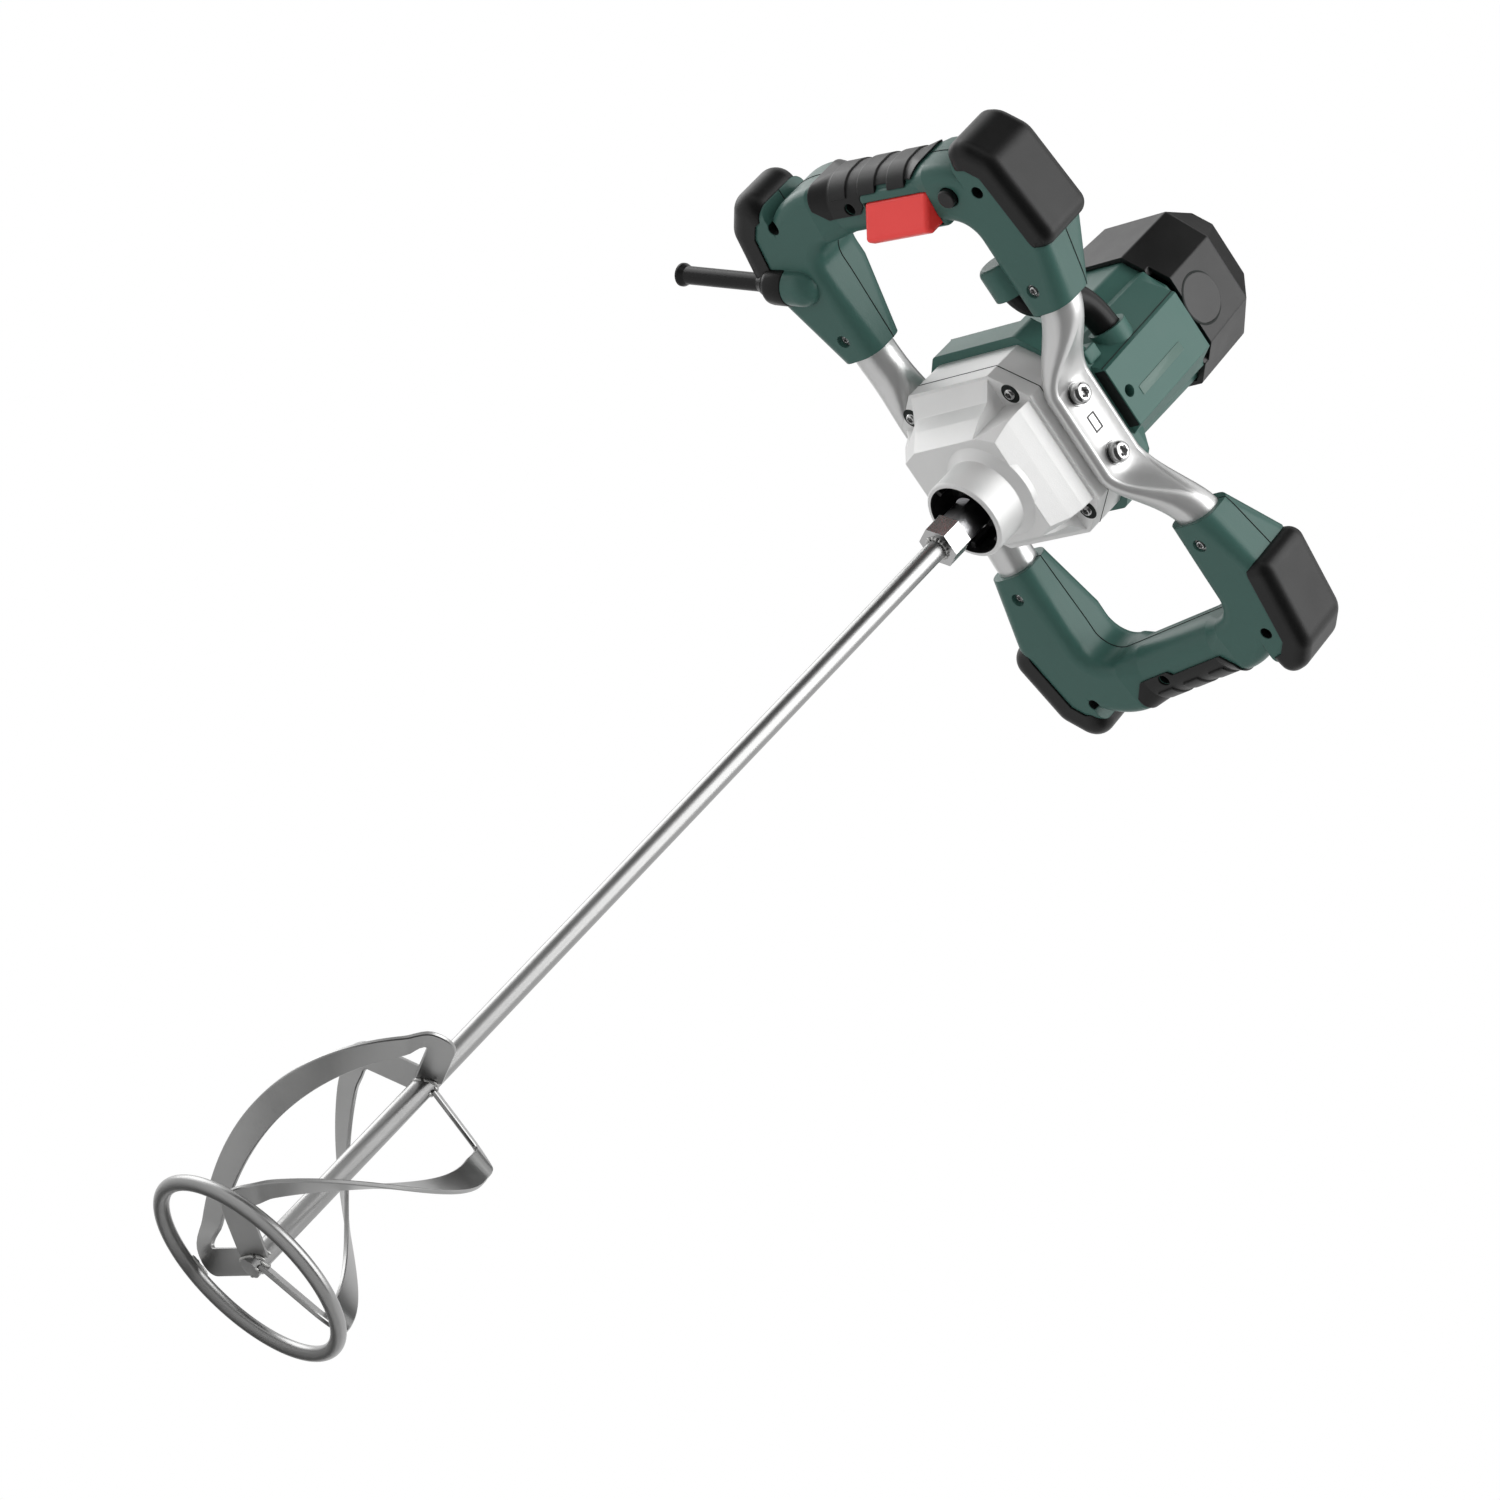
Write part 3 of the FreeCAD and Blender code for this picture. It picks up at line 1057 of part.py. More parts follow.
def bumper_block(seat, thickness):
    """Outside of a corner bumper, lapping over the edges of the handle."""
    inner = offset_path(seat, -math.copysign(BUMPER_LAP, thickness))
    outer = offset_path(seat, thickness)
    solid = prism(inner + outer[::-1], HANDLE_FLOOR - BUMPER_LIP, LEG_TOP + BUMPER_LIP)
    solid = solid.makeFillet(BUMPER_CORNER_R, edges_at(solid, outer[1:-1]))
    solid = solid.makeFillet(BUMPER_END_SHARE * abs(thickness), edges_at(solid, [outer[0], outer[-1]]))
    rim = BUMPER_RIM_SHARE * abs(thickness)
    edges = []
    for edge in solid.Edges:
        line = Part.makePolygon([V(x, y, edge.CenterOfMass.z) for x, y in inner])
        if edge.BoundBox.ZLength < 1e-6 and line.distToShape(edge)[0] > BUMPER_LAP + rim:
            edges.append(edge)
    return solid.makeFillet(rim, edges)


FRONT_SEAT = bumper_seat(FRONT_CENTRE, 1, LEG_FRONT_WIDTH, FRONT_BUMPER_START)
REAR_SEAT = bumper_seat(REAR_CENTRE, -1, LEG_REAR_WIDTH, REAR_BUMPER_START)


def handle_core():
    """Solid D handle without its fittings, level."""
    pieces = handle_leg(FRONT_TUBE, FRONT_CENTRE, LEG_FRONT_WIDTH, FRONT_BUMPER_START, GRIP_TURN - 90.0)
    pieces += handle_leg(REAR_TUBE, REAR_CENTRE, LEG_REAR_WIDTH, REAR_BUMPER_START, GRIP_TURN + 90.0)
    pieces += [grip_loft(), corner_block(FRONT_SEAT, 1), corner_block(REAR_SEAT, -1)]
    return fuse(pieces)


CORE = handle_core()


def hole_places():
    """Deep screw holes: one in each corner and one in the grip, as x and y in the level handle."""
    grip_hole = in_grip(Part.Vertex(GRIP_HOLE_OUT, -GRIP_HOLE_RUN, 0.0)).Point
    return [polar(SHELL_HOLE_REACH, FRONT_HOLE_ANGLE, FRONT_CENTRE),
            polar(SHELL_HOLE_REACH, REAR_HOLE_ANGLE, REAR_CENTRE),
            (grip_hole.x, grip_hole.y)]


def leg_screw_places():
    """Where the leg screws enter the sleeves from below, in the level handle."""
    places = []
    for tube in (FRONT_TUBE, REAR_TUBE):
        places.append(untilted(V(tube.end_x - TUBE_INSERT + LEG_SCREW_FROM_END, tube.end_y, tube.end_z)))
    return places


SHELL_SEAT_Z = HANDLE_FLOOR + SHELL_HOLE_DEPTH
LEG_SEAT_DROP = TUBE_R + LEG_SCREW_RECESS


def shell_screws():
    """Screws that hold the two shells of a handle together."""
    screws = []
    for at in hole_places():
        head = cylinder(SHELL_HEAD_R, SHELL_SEAT_Z - SHELL_HEAD_H, SHELL_SEAT_Z, at)
        shank = cylinder(SHELL_SCREW_R, SHELL_SEAT_Z, SHELL_SEAT_Z + SHELL_SCREW_LENGTH, at)
        screws.append(fuse([head, shank]))
    return tilted(Part.Compound(screws))


def leg_screws():
    """Screws that hold a handle's legs on the tube ends."""
    screws = []
    for at in leg_screw_places():
        seat = at.z - LEG_SEAT_DROP
        head = cylinder(LEG_HEAD_R, seat - SHELL_HEAD_H, seat, (at.x, at.y))
        shank = cylinder(SHELL_SCREW_R, seat, at.z, (at.x, at.y))
        screws.append(fuse([head, shank]))
    return tilted(Part.Compound(screws))


def screw_cuts():
    """Room for the shell screws and the leg screws in a level handle."""
    cuts = []
    for at in hole_places():
        cuts.append(cylinder(SHELL_HOLE_R, HANDLE_FLOOR - BUMPER_LIP, SHELL_SEAT_Z, at))
        cuts.append(cylinder(SHELL_SCREW_R, SHELL_SEAT_Z, SHELL_SEAT_Z + SHELL_SCREW_LENGTH, at))
    for at in leg_screw_places():
        seat = at.z - LEG_SEAT_DROP
        cuts.append(cylinder(LEG_HOLE_R, seat - SLEEVE_SIZE, seat, (at.x, at.y)))
        cuts.append(cylinder(SHELL_SCREW_R, seat, at.z, (at.x, at.y)))
    return cuts


def bumper(seat, thickness):
    """Soft corner bumper, hollowed to fit the handle and clear of its screw holes."""
    return tilted(largest(bumper_block(seat, thickness).cut(CORE.multiFuse(screw_cuts()))))


def split(solid):
    """Lower and upper shell of a tilted handle, parted at the seam."""
    size = 500.0
    below = tilted(box(-size, size, -size, size, PARTING_Z - size, PARTING_Z))
    above = tilted(box(-size, size, -size, size, PARTING_Z, PARTING_Z + size))
    return solid.common(below), solid.common(above)


# Trigger, switch and lock button
GUARD_LOW = GRIP_LOW - GUARD_DROP
TRIGGER_REAR = TRIGGER_FRONT - TRIGGER_LENGTH
TRIGGER_TOP = GUARD_LOW + TRIGGER_RISE
TRIGGER_MID = ((TRIGGER_INNER + TRIGGER_OUTER) / 2, (TRIGGER_FRONT + TRIGGER_REAR) / 2)
SWITCH_LOW = TRIGGER_TOP + TRIGGER_TRAVEL + SWING_CLEARANCE


def stem(radius, low, high):
    return cylinder(radius, low, high, TRIGGER_MID)


def trigger():
    """Long trigger under the grip, its toe slanted towards the fingers, with the stem that works the switch."""
    section = [(TRIGGER_OUTER, GUARD_LOW), (TRIGGER_INNER + TRIGGER_TOE, GUARD_LOW - TRIGGER_DROP),
               (TRIGGER_INNER, GUARD_LOW - TRIGGER_DROP + TRIGGER_TOE_RISE), (TRIGGER_INNER, TRIGGER_TOP),
               (TRIGGER_OUTER, TRIGGER_TOP)]
    corners = [V(u, TRIGGER_REAR, z) for u, z in section]
    block = Part.Face(Part.makePolygon(corners + corners[:1])).extrude(V(0, TRIGGER_LENGTH, 0))
    block = block.makeFillet(TRIGGER_EDGE_R, block.Edges)
    pin = stem(TRIGGER_STEM_R, TRIGGER_TOP - TRIGGER_EDGE_R, TRIGGER_TOP + TRIGGER_STEM)
    return tilted(in_grip(fuse([block, pin])))


def trigger_room():
    """Space the trigger sweeps inside the grip, open below."""
    gap = SLIDE_CLEARANCE
    return box(TRIGGER_INNER - gap, TRIGGER_OUTER + gap, TRIGGER_REAR - gap, TRIGGER_FRONT + gap,
               GUARD_LOW - TRIGGER_DROP, SWITCH_LOW)


def switch_block():
    half = SWITCH_LENGTH / 2
    return box(SWITCH_INNER, SWITCH_OUTER, TRIGGER_MID[1] - half, TRIGGER_MID[1] + half,
               SWITCH_LOW, SWITCH_LOW + SWITCH_HEIGHT)


def switch_module():
    reach = TRIGGER_TOP + TRIGGER_STEM + TRIGGER_TRAVEL + SLIDE_CLEARANCE
    return tilted(in_grip(switch_block().cut(stem(TRIGGER_STEM_R + SLIDE_CLEARANCE, SWITCH_LOW, reach))))


def trigger_guard():
    """Raised rim under the grip that frames the trigger."""
    guard = box(GUARD_INNER, GUARD_OUTER, TRIGGER_REAR - GUARD_MARGIN, TRIGGER_FRONT + GUARD_MARGIN,
                GUARD_LOW, (GRIP_LOW + GRIP_HIGH) / 2)
    return in_grip(guard.makeFillet(GUARD_EDGE_R, guard.Edges))


def lock_pin(radius, low, high):
    return in_grip(cylinder(radius, low, high, (LOCK_OUT, -LOCK_RUN)))


def lock_button():
    low = HANDLE_FLOOR - LOCK_PROUD
    pin = cylinder(LOCK_R, low, HANDLE_FLOOR + LOCK_DEPTH, (LOCK_OUT, -LOCK_RUN))
    rim = [e for e in pin.Edges if e.BoundBox.ZMax < low + 1e-6]
    return tilted(in_grip(pin.makeFillet(LOCK_PROUD / 3, rim)))


def control_cuts():
    """Room for the trigger, its switch and the lock button in the level handle."""
    return [
        in_grip(trigger_room()),
        in_grip(switch_block()),
        lock_pin(LOCK_R + SLIDE_CLEARANCE, HANDLE_FLOOR - LOCK_PROUD,
                 HANDLE_FLOOR + LOCK_DEPTH + LOCK_TRAVEL + SLIDE_CLEARANCE),
    ]


# Cable sleeve and conduit

def along_cable(shape):
    """Move a shape drawn up the Z axis to the cable sleeve's own line."""
    placed = shape.copy()
    placed.rotate(V(0, 0, 0), V(1, 0, 0), 90.0)
    placed.rotate(V(0, 0, 0), UP, CABLE_SLEEVE_TURN)
    placed.translate(V(CABLE_SLEEVE_X, CABLE_SLEEVE_Y, CABLE_SLEEVE_Z))
    return placed


def sleeve_body():
    """Outside of the cable sleeve: a root held in the handle, a slim tube and a flared mouth."""
    neck = CABLE_ROOT_LENGTH + CABLE_NECK
    mouth = CABLE_SLEEVE_LENGTH
    profile = [V(0, 0, 0), V(CABLE_ROOT_R, 0, 0), V(CABLE_ROOT_R, 0, CABLE_ROOT_LENGTH), V(CABLE_SLEEVE_R, 0, neck),
               V(CABLE_SLEEVE_R, 0, mouth - CABLE_FLARE_RUN), V(CABLE_FLARE_R, 0, mouth - CABLE_LIP),
               V(CABLE_FLARE_R, 0, mouth), V(0, 0, mouth)]
    return Part.Face(Part.makePolygon(profile + profile[:1])).revolve(V(0, 0, 0), UP, 360)


def cable_boss():
    """Round-ended boss on the rear leg that grips the root of the cable sleeve."""
    return along_cable(fuse([cylinder(CABLE_BOSS_R, 0.0, CABLE_BOSS_LENGTH), Part.makeSphere(CABLE_BOSS_R)]))


def cable_sleeve():
    bore = cylinder(CABLE_BORE_R, CABLE_FLOOR, CABLE_SLEEVE_LENGTH)
    return along_cable(sleeve_body().cut(bore))


def routed_pipe(route, radius, bend_r):
    """Round bar along straight runs joined by tangent arcs."""
    points = [V(*p) for p in route]
    edges = []
    start = points[0]
    for before, at, after in zip(points, points[1:], points[2:]):
        back = (before - at).normalize()
        on = (after - at).normalize()
        half = back.getAngle(on) / 2
        reach = bend_r / math.tan(half)
        middle = (back + on).normalize()
        enter, leave = at + back * reach, at + on * reach
        top = at + middle * (bend_r / math.sin(half) - bend_r)
        edges += [Part.LineSegment(start, enter).toShape(), Part.Arc(enter, top, leave).toShape()]
        start = leave
    edges.append(Part.LineSegment(start, points[-1]).toShape())
    circle = Part.Circle(points[0], (points[1] - points[0]).normalize(), radius).toShape()
    return Part.Wire(edges).makePipeShell([Part.Wire([circle])], True, True)


def conduit_body():
    return routed_pipe(CONDUIT_ROUTE, CONDUIT_R, CONDUIT_BEND_R)


def cable_conduit():
    """Rubber elbow that leads the motor's wires from the handle to the motor housing."""
    return conduit_body().cut(routed_pipe(CONDUIT_ROUTE, CONDUIT_BORE_R, CONDUIT_BEND_R))


def conduit_boss():
    """Rounded boss on the inner side of the front leg, where the conduit leaves the handle."""
    y, z = CONDUIT_ROUTE[0][1], CONDUIT_ROUTE[0][2]
    end_x = CONDUIT_BOSS_X + CONDUIT_BOSS_LENGTH
    barrel = cylinder_x(CONDUIT_BOSS_R, y, z, CONDUIT_BOSS_X, end_x)
    barrel = barrel.makeFillet(CONDUIT_BOSS_EDGE_R, [e for e in barrel.Edges if e.BoundBox.XMin > end_x - 1e-6])
    web = box(CONDUIT_BOSS_X, end_x, y, LEG_INNER_FRONT_Y + LEG_EDGE_R, z, z + CONDUIT_BOSS_R)
    return fuse([barrel, web])


def conduit_collar():
    y, z = CONDUIT_ROUTE[-1][1], CONDUIT_ROUTE[-1][2]
    return cylinder_x(CONDUIT_COLLAR_R, y, z, CONDUIT_COLLAR_X - CONDUIT_COLLAR_LENGTH, CONDUIT_COLLAR_X)


# The two handles

def right_handle():
    """Both shells of the trigger handle."""
    cuts = screw_cuts() + control_cuts()
    level = CORE.fuse(trigger_guard()).cut(cuts[0].multiFuse(cuts[1:]))
    solid = fuse([tilted(level), cable_boss(), conduit_boss()])
    taken = [tube_solid(FRONT_TUBE, 0.0), tube_solid(REAR_TUBE, 0.0), along_cable(sleeve_body()), conduit_body()]
    return split(solid.cut(taken[0].multiFuse(taken[1:])))


def left_handle():
    """Both shells of the plain handle."""
    cuts = screw_cuts()
    solid = tilted(CORE.cut(cuts[0].multiFuse(cuts[1:])))
    tubes = tube_solid(FRONT_TUBE, 0.0).fuse(tube_solid(REAR_TUBE, 0.0))
    return [mirror_x(shell) for shell in split(solid.cut(tubes))]


def grip_pad(outline, taken):
    """Soft pad on the outside of a grip, with raised patches and the grip's screw hole."""
    area = in_grip(prism(outline, GRIP_LOW - PAD_REACH, GRIP_HIGH + PAD_REACH))
    pad = grip_loft(PAD_THICKNESS).common(area)
    pitch = GRIP_RUN / (PATCH_COUNT + 1)
    patches = []
    for n in range(PATCH_COUNT):
        mid = -pitch * (n + 1)
        patch = box(CORNER_OUTER_R - PATCH_WRAP, CORNER_OUTER_R + PAD_REACH, mid - PATCH_LENGTH / 2,
                    mid + PATCH_LENGTH / 2, GRIP_LOW - PAD_REACH, GRIP_HIGH + PAD_REACH)
        patches.append(grip_loft(PAD_THICKNESS + PATCH_THICKNESS).common(in_grip(patch)))
    solid = fuse([pad] + patches).cut(grip_loft())
    hole = in_grip(cylinder(SHELL_HOLE_R, GRIP_LOW - PAD_REACH, SHELL_SEAT_Z, (GRIP_HOLE_OUT, -GRIP_HOLE_RUN)))
    return solid.cut(taken.fuse(hole))


def pad_outline(step):
    """Plan of a pad about the grip's axes; step keeps it clear of a trigger guard."""
    far = CORNER_OUTER_R + PAD_REACH
    rear, front = PAD_END - GRIP_RUN, -PAD_END
    bend_y = TRIGGER_REAR - GUARD_MARGIN - PAD_GUARD_GAP
    inner, outer = PAD_INNER, PAD_INNER + step
    return [(far, rear), (inner + PAD_CORNER, rear), (inner, rear + PAD_CORNER), (inner, bend_y),
            (outer, bend_y + step), (outer, front - PAD_CORNER), (outer + PAD_CORNER, front), (far, front)]


# Stirrer
HEX_TOP = -NOSE_DROP
HEX_BOTTOM = HEX_TOP - HEX_LENGTH
RING_Z = STIRRER_BOTTOM + RING_ROD_R


def stirrer_hexagon():
    """Hexagon with the threaded stud on top and a socket for the shaft below."""
    corner_r = HEX_ACROSS / math.sqrt(3.0)
    body = prism([polar(corner_r, 60.0 * k) for k in range(6)], HEX_BOTTOM, HEX_TOP)
    stud = cylinder(STUD_R, HEX_TOP, HEX_TOP + STUD_LENGTH)
    socket = cylinder(STIRRER_SHAFT_R, HEX_BOTTOM, HEX_TOP - HEX_LENGTH / 3)
    return fuse([body, stud]).cut(socket)


def stirrer_shaft():
    return cylinder(STIRRER_SHAFT_R, RING_Z, HEX_TOP - HEX_LENGTH / 3)


def stirrer_ring():
    return Part.makeTorus(RING_R - RING_ROD_R, RING_ROD_R, V(0, 0, RING_Z))


def stirrer_blade(number):
    """One bent strip: a pitched spoke, a helical ribbon and a pitched arm back to the shaft."""
    start = BLADE_START + 360.0 * number / BLADE_COUNT
    low = RING_Z + RING_ROD_R + BLADE_THICKNESS / 2
    inner_r = BLADE_OUTER_R - BLADE_WIDTH
    mid_r = BLADE_OUTER_R - BLADE_WIDTH / 2
    climb = math.atan2(BLADE_RISE, math.radians(BLADE_TURN) * mid_r)
    half = BLADE_THICKNESS / 2 / math.cos(climb)
    sections = []
    for k in range(BLADE_STATIONS):
        share = k / (BLADE_STATIONS - 1)
        z = low + BLADE_RISE * share
        angle = start + BLADE_TURN * share
        corners = [(inner_r, z - half), (BLADE_OUTER_R, z - half), (BLADE_OUTER_R, z + half), (inner_r, z + half)]
        points = [V(*polar(r, angle), height) for r, height in corners]
        sections.append(Part.makePolygon(points + points[:1]))
    strips = [Part.makeLoft(sections, True, False)]
    for angle, z in ((start, low), (start + BLADE_TURN, low + BLADE_RISE)):
        arm = box(0.0, mid_r + BLADE_WIDTH / 4, -BLADE_WIDTH / 2, BLADE_WIDTH / 2,
                  -BLADE_THICKNESS / 2, BLADE_THICKNESS / 2)
        arm.rotate(V(0, 0, 0), V(1, 0, 0), SPOKE_PITCH)
        arm.rotate(V(0, 0, 0), UP, angle)
        arm.translate(V(0, 0, z))
        strips.append(arm)
    return fuse(strips).cut(stirrer_shaft().fuse(stirrer_ring()))


os.makedirs("parts", exist_ok=True)
right_lower, right_upper = right_handle()
left_lower, left_upper = left_handle()
front_bumper = bumper(FRONT_SEAT, FRONT_BUMPER_T)
rear_bumper = bumper(REAR_SEAT, -REAR_BUMPER_T)
right_screws = shell_screws()
sleeve_screws = leg_screws()
nodes = {
    "gear_housing": gear_housing(),
    "gear_cover": gear_cover(),
    "housing_screws": housing_screws(),
    "spindle": spindle(),
    "spindle_gear": spindle_gear(),
    "spindle_bearing": spindle_bearing(),
    "spindle_seal": spindle_seal(),
    "spindle_needle_bearing": spindle_needle_bearing(),
    "idler_shaft": idler_shaft(),
    "idler_gear": idler_gear(),
    "idler_bearings": idler_bearings(),
    "armature_shaft": armature_shaft(),
    "armature_core": armature_core(),
    "commutator": commutator(),
    "fan": fan(),
    "lower_motor_bearing": motor_bearing(MOTOR_BEARING_Z),
    "upper_motor_bearing": motor_bearing(TOP_BEARING_Z),
    "stator": stator(),
    "motor_housing": motor_housing(),
    "brush_bracket": brush_bracket(),
    "front_carbon_brush": carbon_brush(1),
    "rear_carbon_brush": carbon_brush(-1),
    "motor_end_cap": motor_end_cap(),
    "front_brush_cap": brush_cap(1),
    "rear_brush_cap": brush_cap(-1),
    "front_frame_tube": frame_tube(FRONT_TUBE),
    "rear_frame_tube": frame_tube(REAR_TUBE),
    "front_frame_washers": frame_washers(FRONT_TUBE),
    "rear_frame_washers": frame_washers(REAR_TUBE),
    "front_frame_screws": frame_screws(FRONT_TUBE),
    "rear_frame_screws": frame_screws(REAR_TUBE),
    "right_handle_lower_shell": right_lower,
    "right_handle_upper_shell": right_upper,
    "left_handle_lower_shell": left_lower,
    "left_handle_upper_shell": left_upper,
    "right_front_bumper": front_bumper,
    "right_rear_bumper": rear_bumper.cut(cable_boss().fuse(along_cable(sleeve_body()))),
    "left_front_bumper": mirror_x(front_bumper),
    "left_rear_bumper": mirror_x(rear_bumper),
    "right_grip_pad": tilted(grip_pad(pad_outline(RIGHT_PAD_STEP), trigger_guard())),
    "left_grip_pad": mirror_x(tilted(grip_pad(pad_outline(LEFT_PAD_STEP), CORE))),
    "right_shell_screws": right_screws,
    "left_shell_screws": mirror_x(right_screws),
    "right_leg_screws": sleeve_screws,
    "left_leg_screws": mirror_x(sleeve_screws),
    "trigger": trigger(),
    "switch_module": switch_module(),
    "lock_button": lock_button(),
    "cable_sleeve": cable_sleeve(),
    "cable_conduit": cable_conduit(),
    "stirrer_hexagon": stirrer_hexagon(),
    "stirrer_shaft": stirrer_shaft(),
    "stirrer_ring": stirrer_ring(),
}
for number in range(BLADE_COUNT):
    nodes["stirrer_blade_%d" % (number + 1)] = stirrer_blade(number)
for name, shape in nodes.items():
    print(name, shape.isValid(), len(shape.Solids), round(shape.Volume, 1))
    shape.exportStep("parts/%s.step" % name)
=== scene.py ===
import math

import bmesh
import bpy
from mathutils import Matrix, Vector


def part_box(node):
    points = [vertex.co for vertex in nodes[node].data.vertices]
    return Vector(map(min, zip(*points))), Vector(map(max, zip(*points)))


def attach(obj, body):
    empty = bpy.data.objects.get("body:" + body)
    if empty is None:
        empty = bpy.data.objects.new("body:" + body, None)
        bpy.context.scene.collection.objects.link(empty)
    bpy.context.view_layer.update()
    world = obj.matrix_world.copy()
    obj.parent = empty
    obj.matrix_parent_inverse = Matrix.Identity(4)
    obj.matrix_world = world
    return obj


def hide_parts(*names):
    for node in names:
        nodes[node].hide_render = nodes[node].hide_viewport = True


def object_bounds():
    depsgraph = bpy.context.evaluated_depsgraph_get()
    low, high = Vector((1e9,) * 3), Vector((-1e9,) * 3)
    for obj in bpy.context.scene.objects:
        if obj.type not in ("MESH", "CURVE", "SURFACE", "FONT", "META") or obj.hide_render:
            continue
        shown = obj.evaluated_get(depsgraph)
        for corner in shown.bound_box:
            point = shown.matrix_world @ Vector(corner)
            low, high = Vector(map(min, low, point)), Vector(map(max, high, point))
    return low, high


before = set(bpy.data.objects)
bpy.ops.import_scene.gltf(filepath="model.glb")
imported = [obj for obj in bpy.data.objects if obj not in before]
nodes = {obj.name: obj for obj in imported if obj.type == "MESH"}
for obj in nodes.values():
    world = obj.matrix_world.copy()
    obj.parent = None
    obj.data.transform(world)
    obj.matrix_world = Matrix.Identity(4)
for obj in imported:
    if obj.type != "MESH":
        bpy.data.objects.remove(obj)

cad_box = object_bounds()


def place(tree, kind, sockets=None, **settings):
    """Shader node with its settings, and a value or a link for each input named."""
    made = tree.nodes.new("ShaderNode" + kind)
    for key, value in settings.items():
        setattr(made, key, value)
    for key, value in (sockets or {}).items():
        if isinstance(value, bpy.types.NodeSocket):
            tree.links.new(value, made.inputs[key])
        else:
            made.inputs[key].default_value = value
    return made


def effect(name, inputs, outputs):
    """New node group with its sockets: the tree, what it is given and what it puts out."""
    tree = bpy.data.node_groups.new(name, "ShaderNodeTree")
    for label, value in inputs.items():
        socket = tree.interface.new_socket(label, in_out="INPUT", socket_type="NodeSocketFloat")
        socket.default_value = value
    for label, kind in outputs.items():
        tree.interface.new_socket(label, in_out="OUTPUT", socket_type="NodeSocket" + kind)
    return tree, tree.nodes.new("NodeGroupInput").outputs, tree.nodes.new("NodeGroupOutput").inputs


def maths(tree, operation, *values):
    return place(tree, "Math", dict(enumerate(values)), operation=operation).outputs[0]


def ranged(tree, value, low, high, start=0.0, stop=1.0, **settings):
    """Value that runs from low to high while the one given runs from start to stop."""
    sockets = {"Value": value, "From Min": start, "From Max": stop, "To Min": low, "To Max": high}
    return place(tree, "MapRange", sockets, **settings).outputs["Result"]


# Fine skin of a cast, blasted or moulded surface: a height for the bump and a slow tone.
skin, given, put = effect("surface_skin", {"Grain": 900.0, "Cloud": 45.0},
                          {"Height": "Float", "Tone": "Float"})
spot = place(skin, "TexCoord").outputs["Object"]
fine = place(skin, "TexNoise", {"Vector": spot, "Scale": given["Grain"], "Detail": 3.0, "Roughness": 0.6})
slow = place(skin, "TexNoise", {"Vector": spot, "Scale": given["Cloud"], "Detail": 4.0, "Roughness": 0.55})
skin.links.new(fine.outputs["Fac"], put["Height"])
skin.links.new(slow.outputs["Fac"], put["Tone"])

# Softened edges: the rounded normal of a small radius, and a mask that is 1 on the edge itself.
edge, given, put = effect("soft_edge", {"Radius": 0.0006}, {"Normal": "Vector", "Edge": "Float"})
rounded = place(edge, "Bevel", {"Radius": given["Radius"]}, samples=6).outputs["Normal"]
flat = place(edge, "NewGeometry").outputs["Normal"]
agree = place(edge, "VectorMath", {0: rounded, 1: flat}, operation="DOT_PRODUCT").outputs["Value"]
edge.links.new(rounded, put["Normal"])
edge.links.new(ranged(edge, agree, 0.0, 1.0, start=0.99, stop=0.8), put["Edge"])


def tinted(tree, share, colour, other):
    """Colour between two others, each a socket or three values."""
    ends = [end if isinstance(end, bpy.types.NodeSocket) else (*end, 1.0) for end in (colour, other)]
    first_colour, second_colour = 6, 7
    mix = place(tree, "Mix", {0: share, first_colour: ends[0], second_colour: ends[1]}, data_type="RGBA")
    return mix.outputs[2]


def blank(name):
    material = bpy.data.materials.new(name)
    material.use_nodes = True
    tree = material.node_tree
    return material, tree, tree.nodes["Principled BSDF"]


def grained(name, colour, cloudy, worn, rough, grain, bump, edge_r, metallic=0.0, gloss=0.5):
    """A blasted or moulded surface: clouded colour, paler worn edges, a fine bump and soft edges."""
    rough_swing, grain_depth = 0.07, 0.0003
    material, tree, shader = blank(name)
    surface = place(tree, "Group", node_tree=skin)
    surface.inputs["Grain"].default_value = grain
    corner = place(tree, "Group", node_tree=edge)
    corner.inputs["Radius"].default_value = edge_r
    tone = surface.outputs["Tone"]
    rub = maths(tree, "MULTIPLY", corner.outputs["Edge"], tone)
    paler = tinted(tree, rub, tinted(tree, tone, colour, cloudy), worn)
    spread = ranged(tree, tone, rough - rough_swing, rough + rough_swing)
    raised = place(tree, "Bump", {"Height": surface.outputs["Height"], "Normal": corner.outputs["Normal"],
                                  "Strength": bump, "Distance": grain_depth})
    tree.links.new(paler, shader.inputs["Base Color"])
    tree.links.new(spread, shader.inputs["Roughness"])
    tree.links.new(raised.outputs["Normal"], shader.inputs["Normal"])
    shader.inputs["Metallic"].default_value = metallic
    shader.inputs["Specular IOR Level"].default_value = gloss
    return material


def dress(material, *names):
    for name in names:
        piece = nodes[name]
        piece.data.materials.clear()
        piece.data.materials.append(material)


cast_metallic = 0.35
cast_alloy = grained("cast_alloy", colour=(0.7, 0.7, 0.695), cloudy=(0.78, 0.78, 0.775),
                     worn=(0.86, 0.86, 0.85), rough=0.5, grain=1500.0, bump=0.25, edge_r=0.0008,
                     metallic=cast_metallic)
dress(cast_alloy, "gear_housing", "gear_cover")


def from_axis(tree, spot):
    """Distance of a point from the tool's upright axis."""
    level = place(tree, "VectorMath", {0: spot, 1: (1.0, 1.0, 0.0)}, operation="MULTIPLY").outputs["Vector"]
    return place(tree, "VectorMath", {0: level}, operation="LENGTH").outputs["Value"]


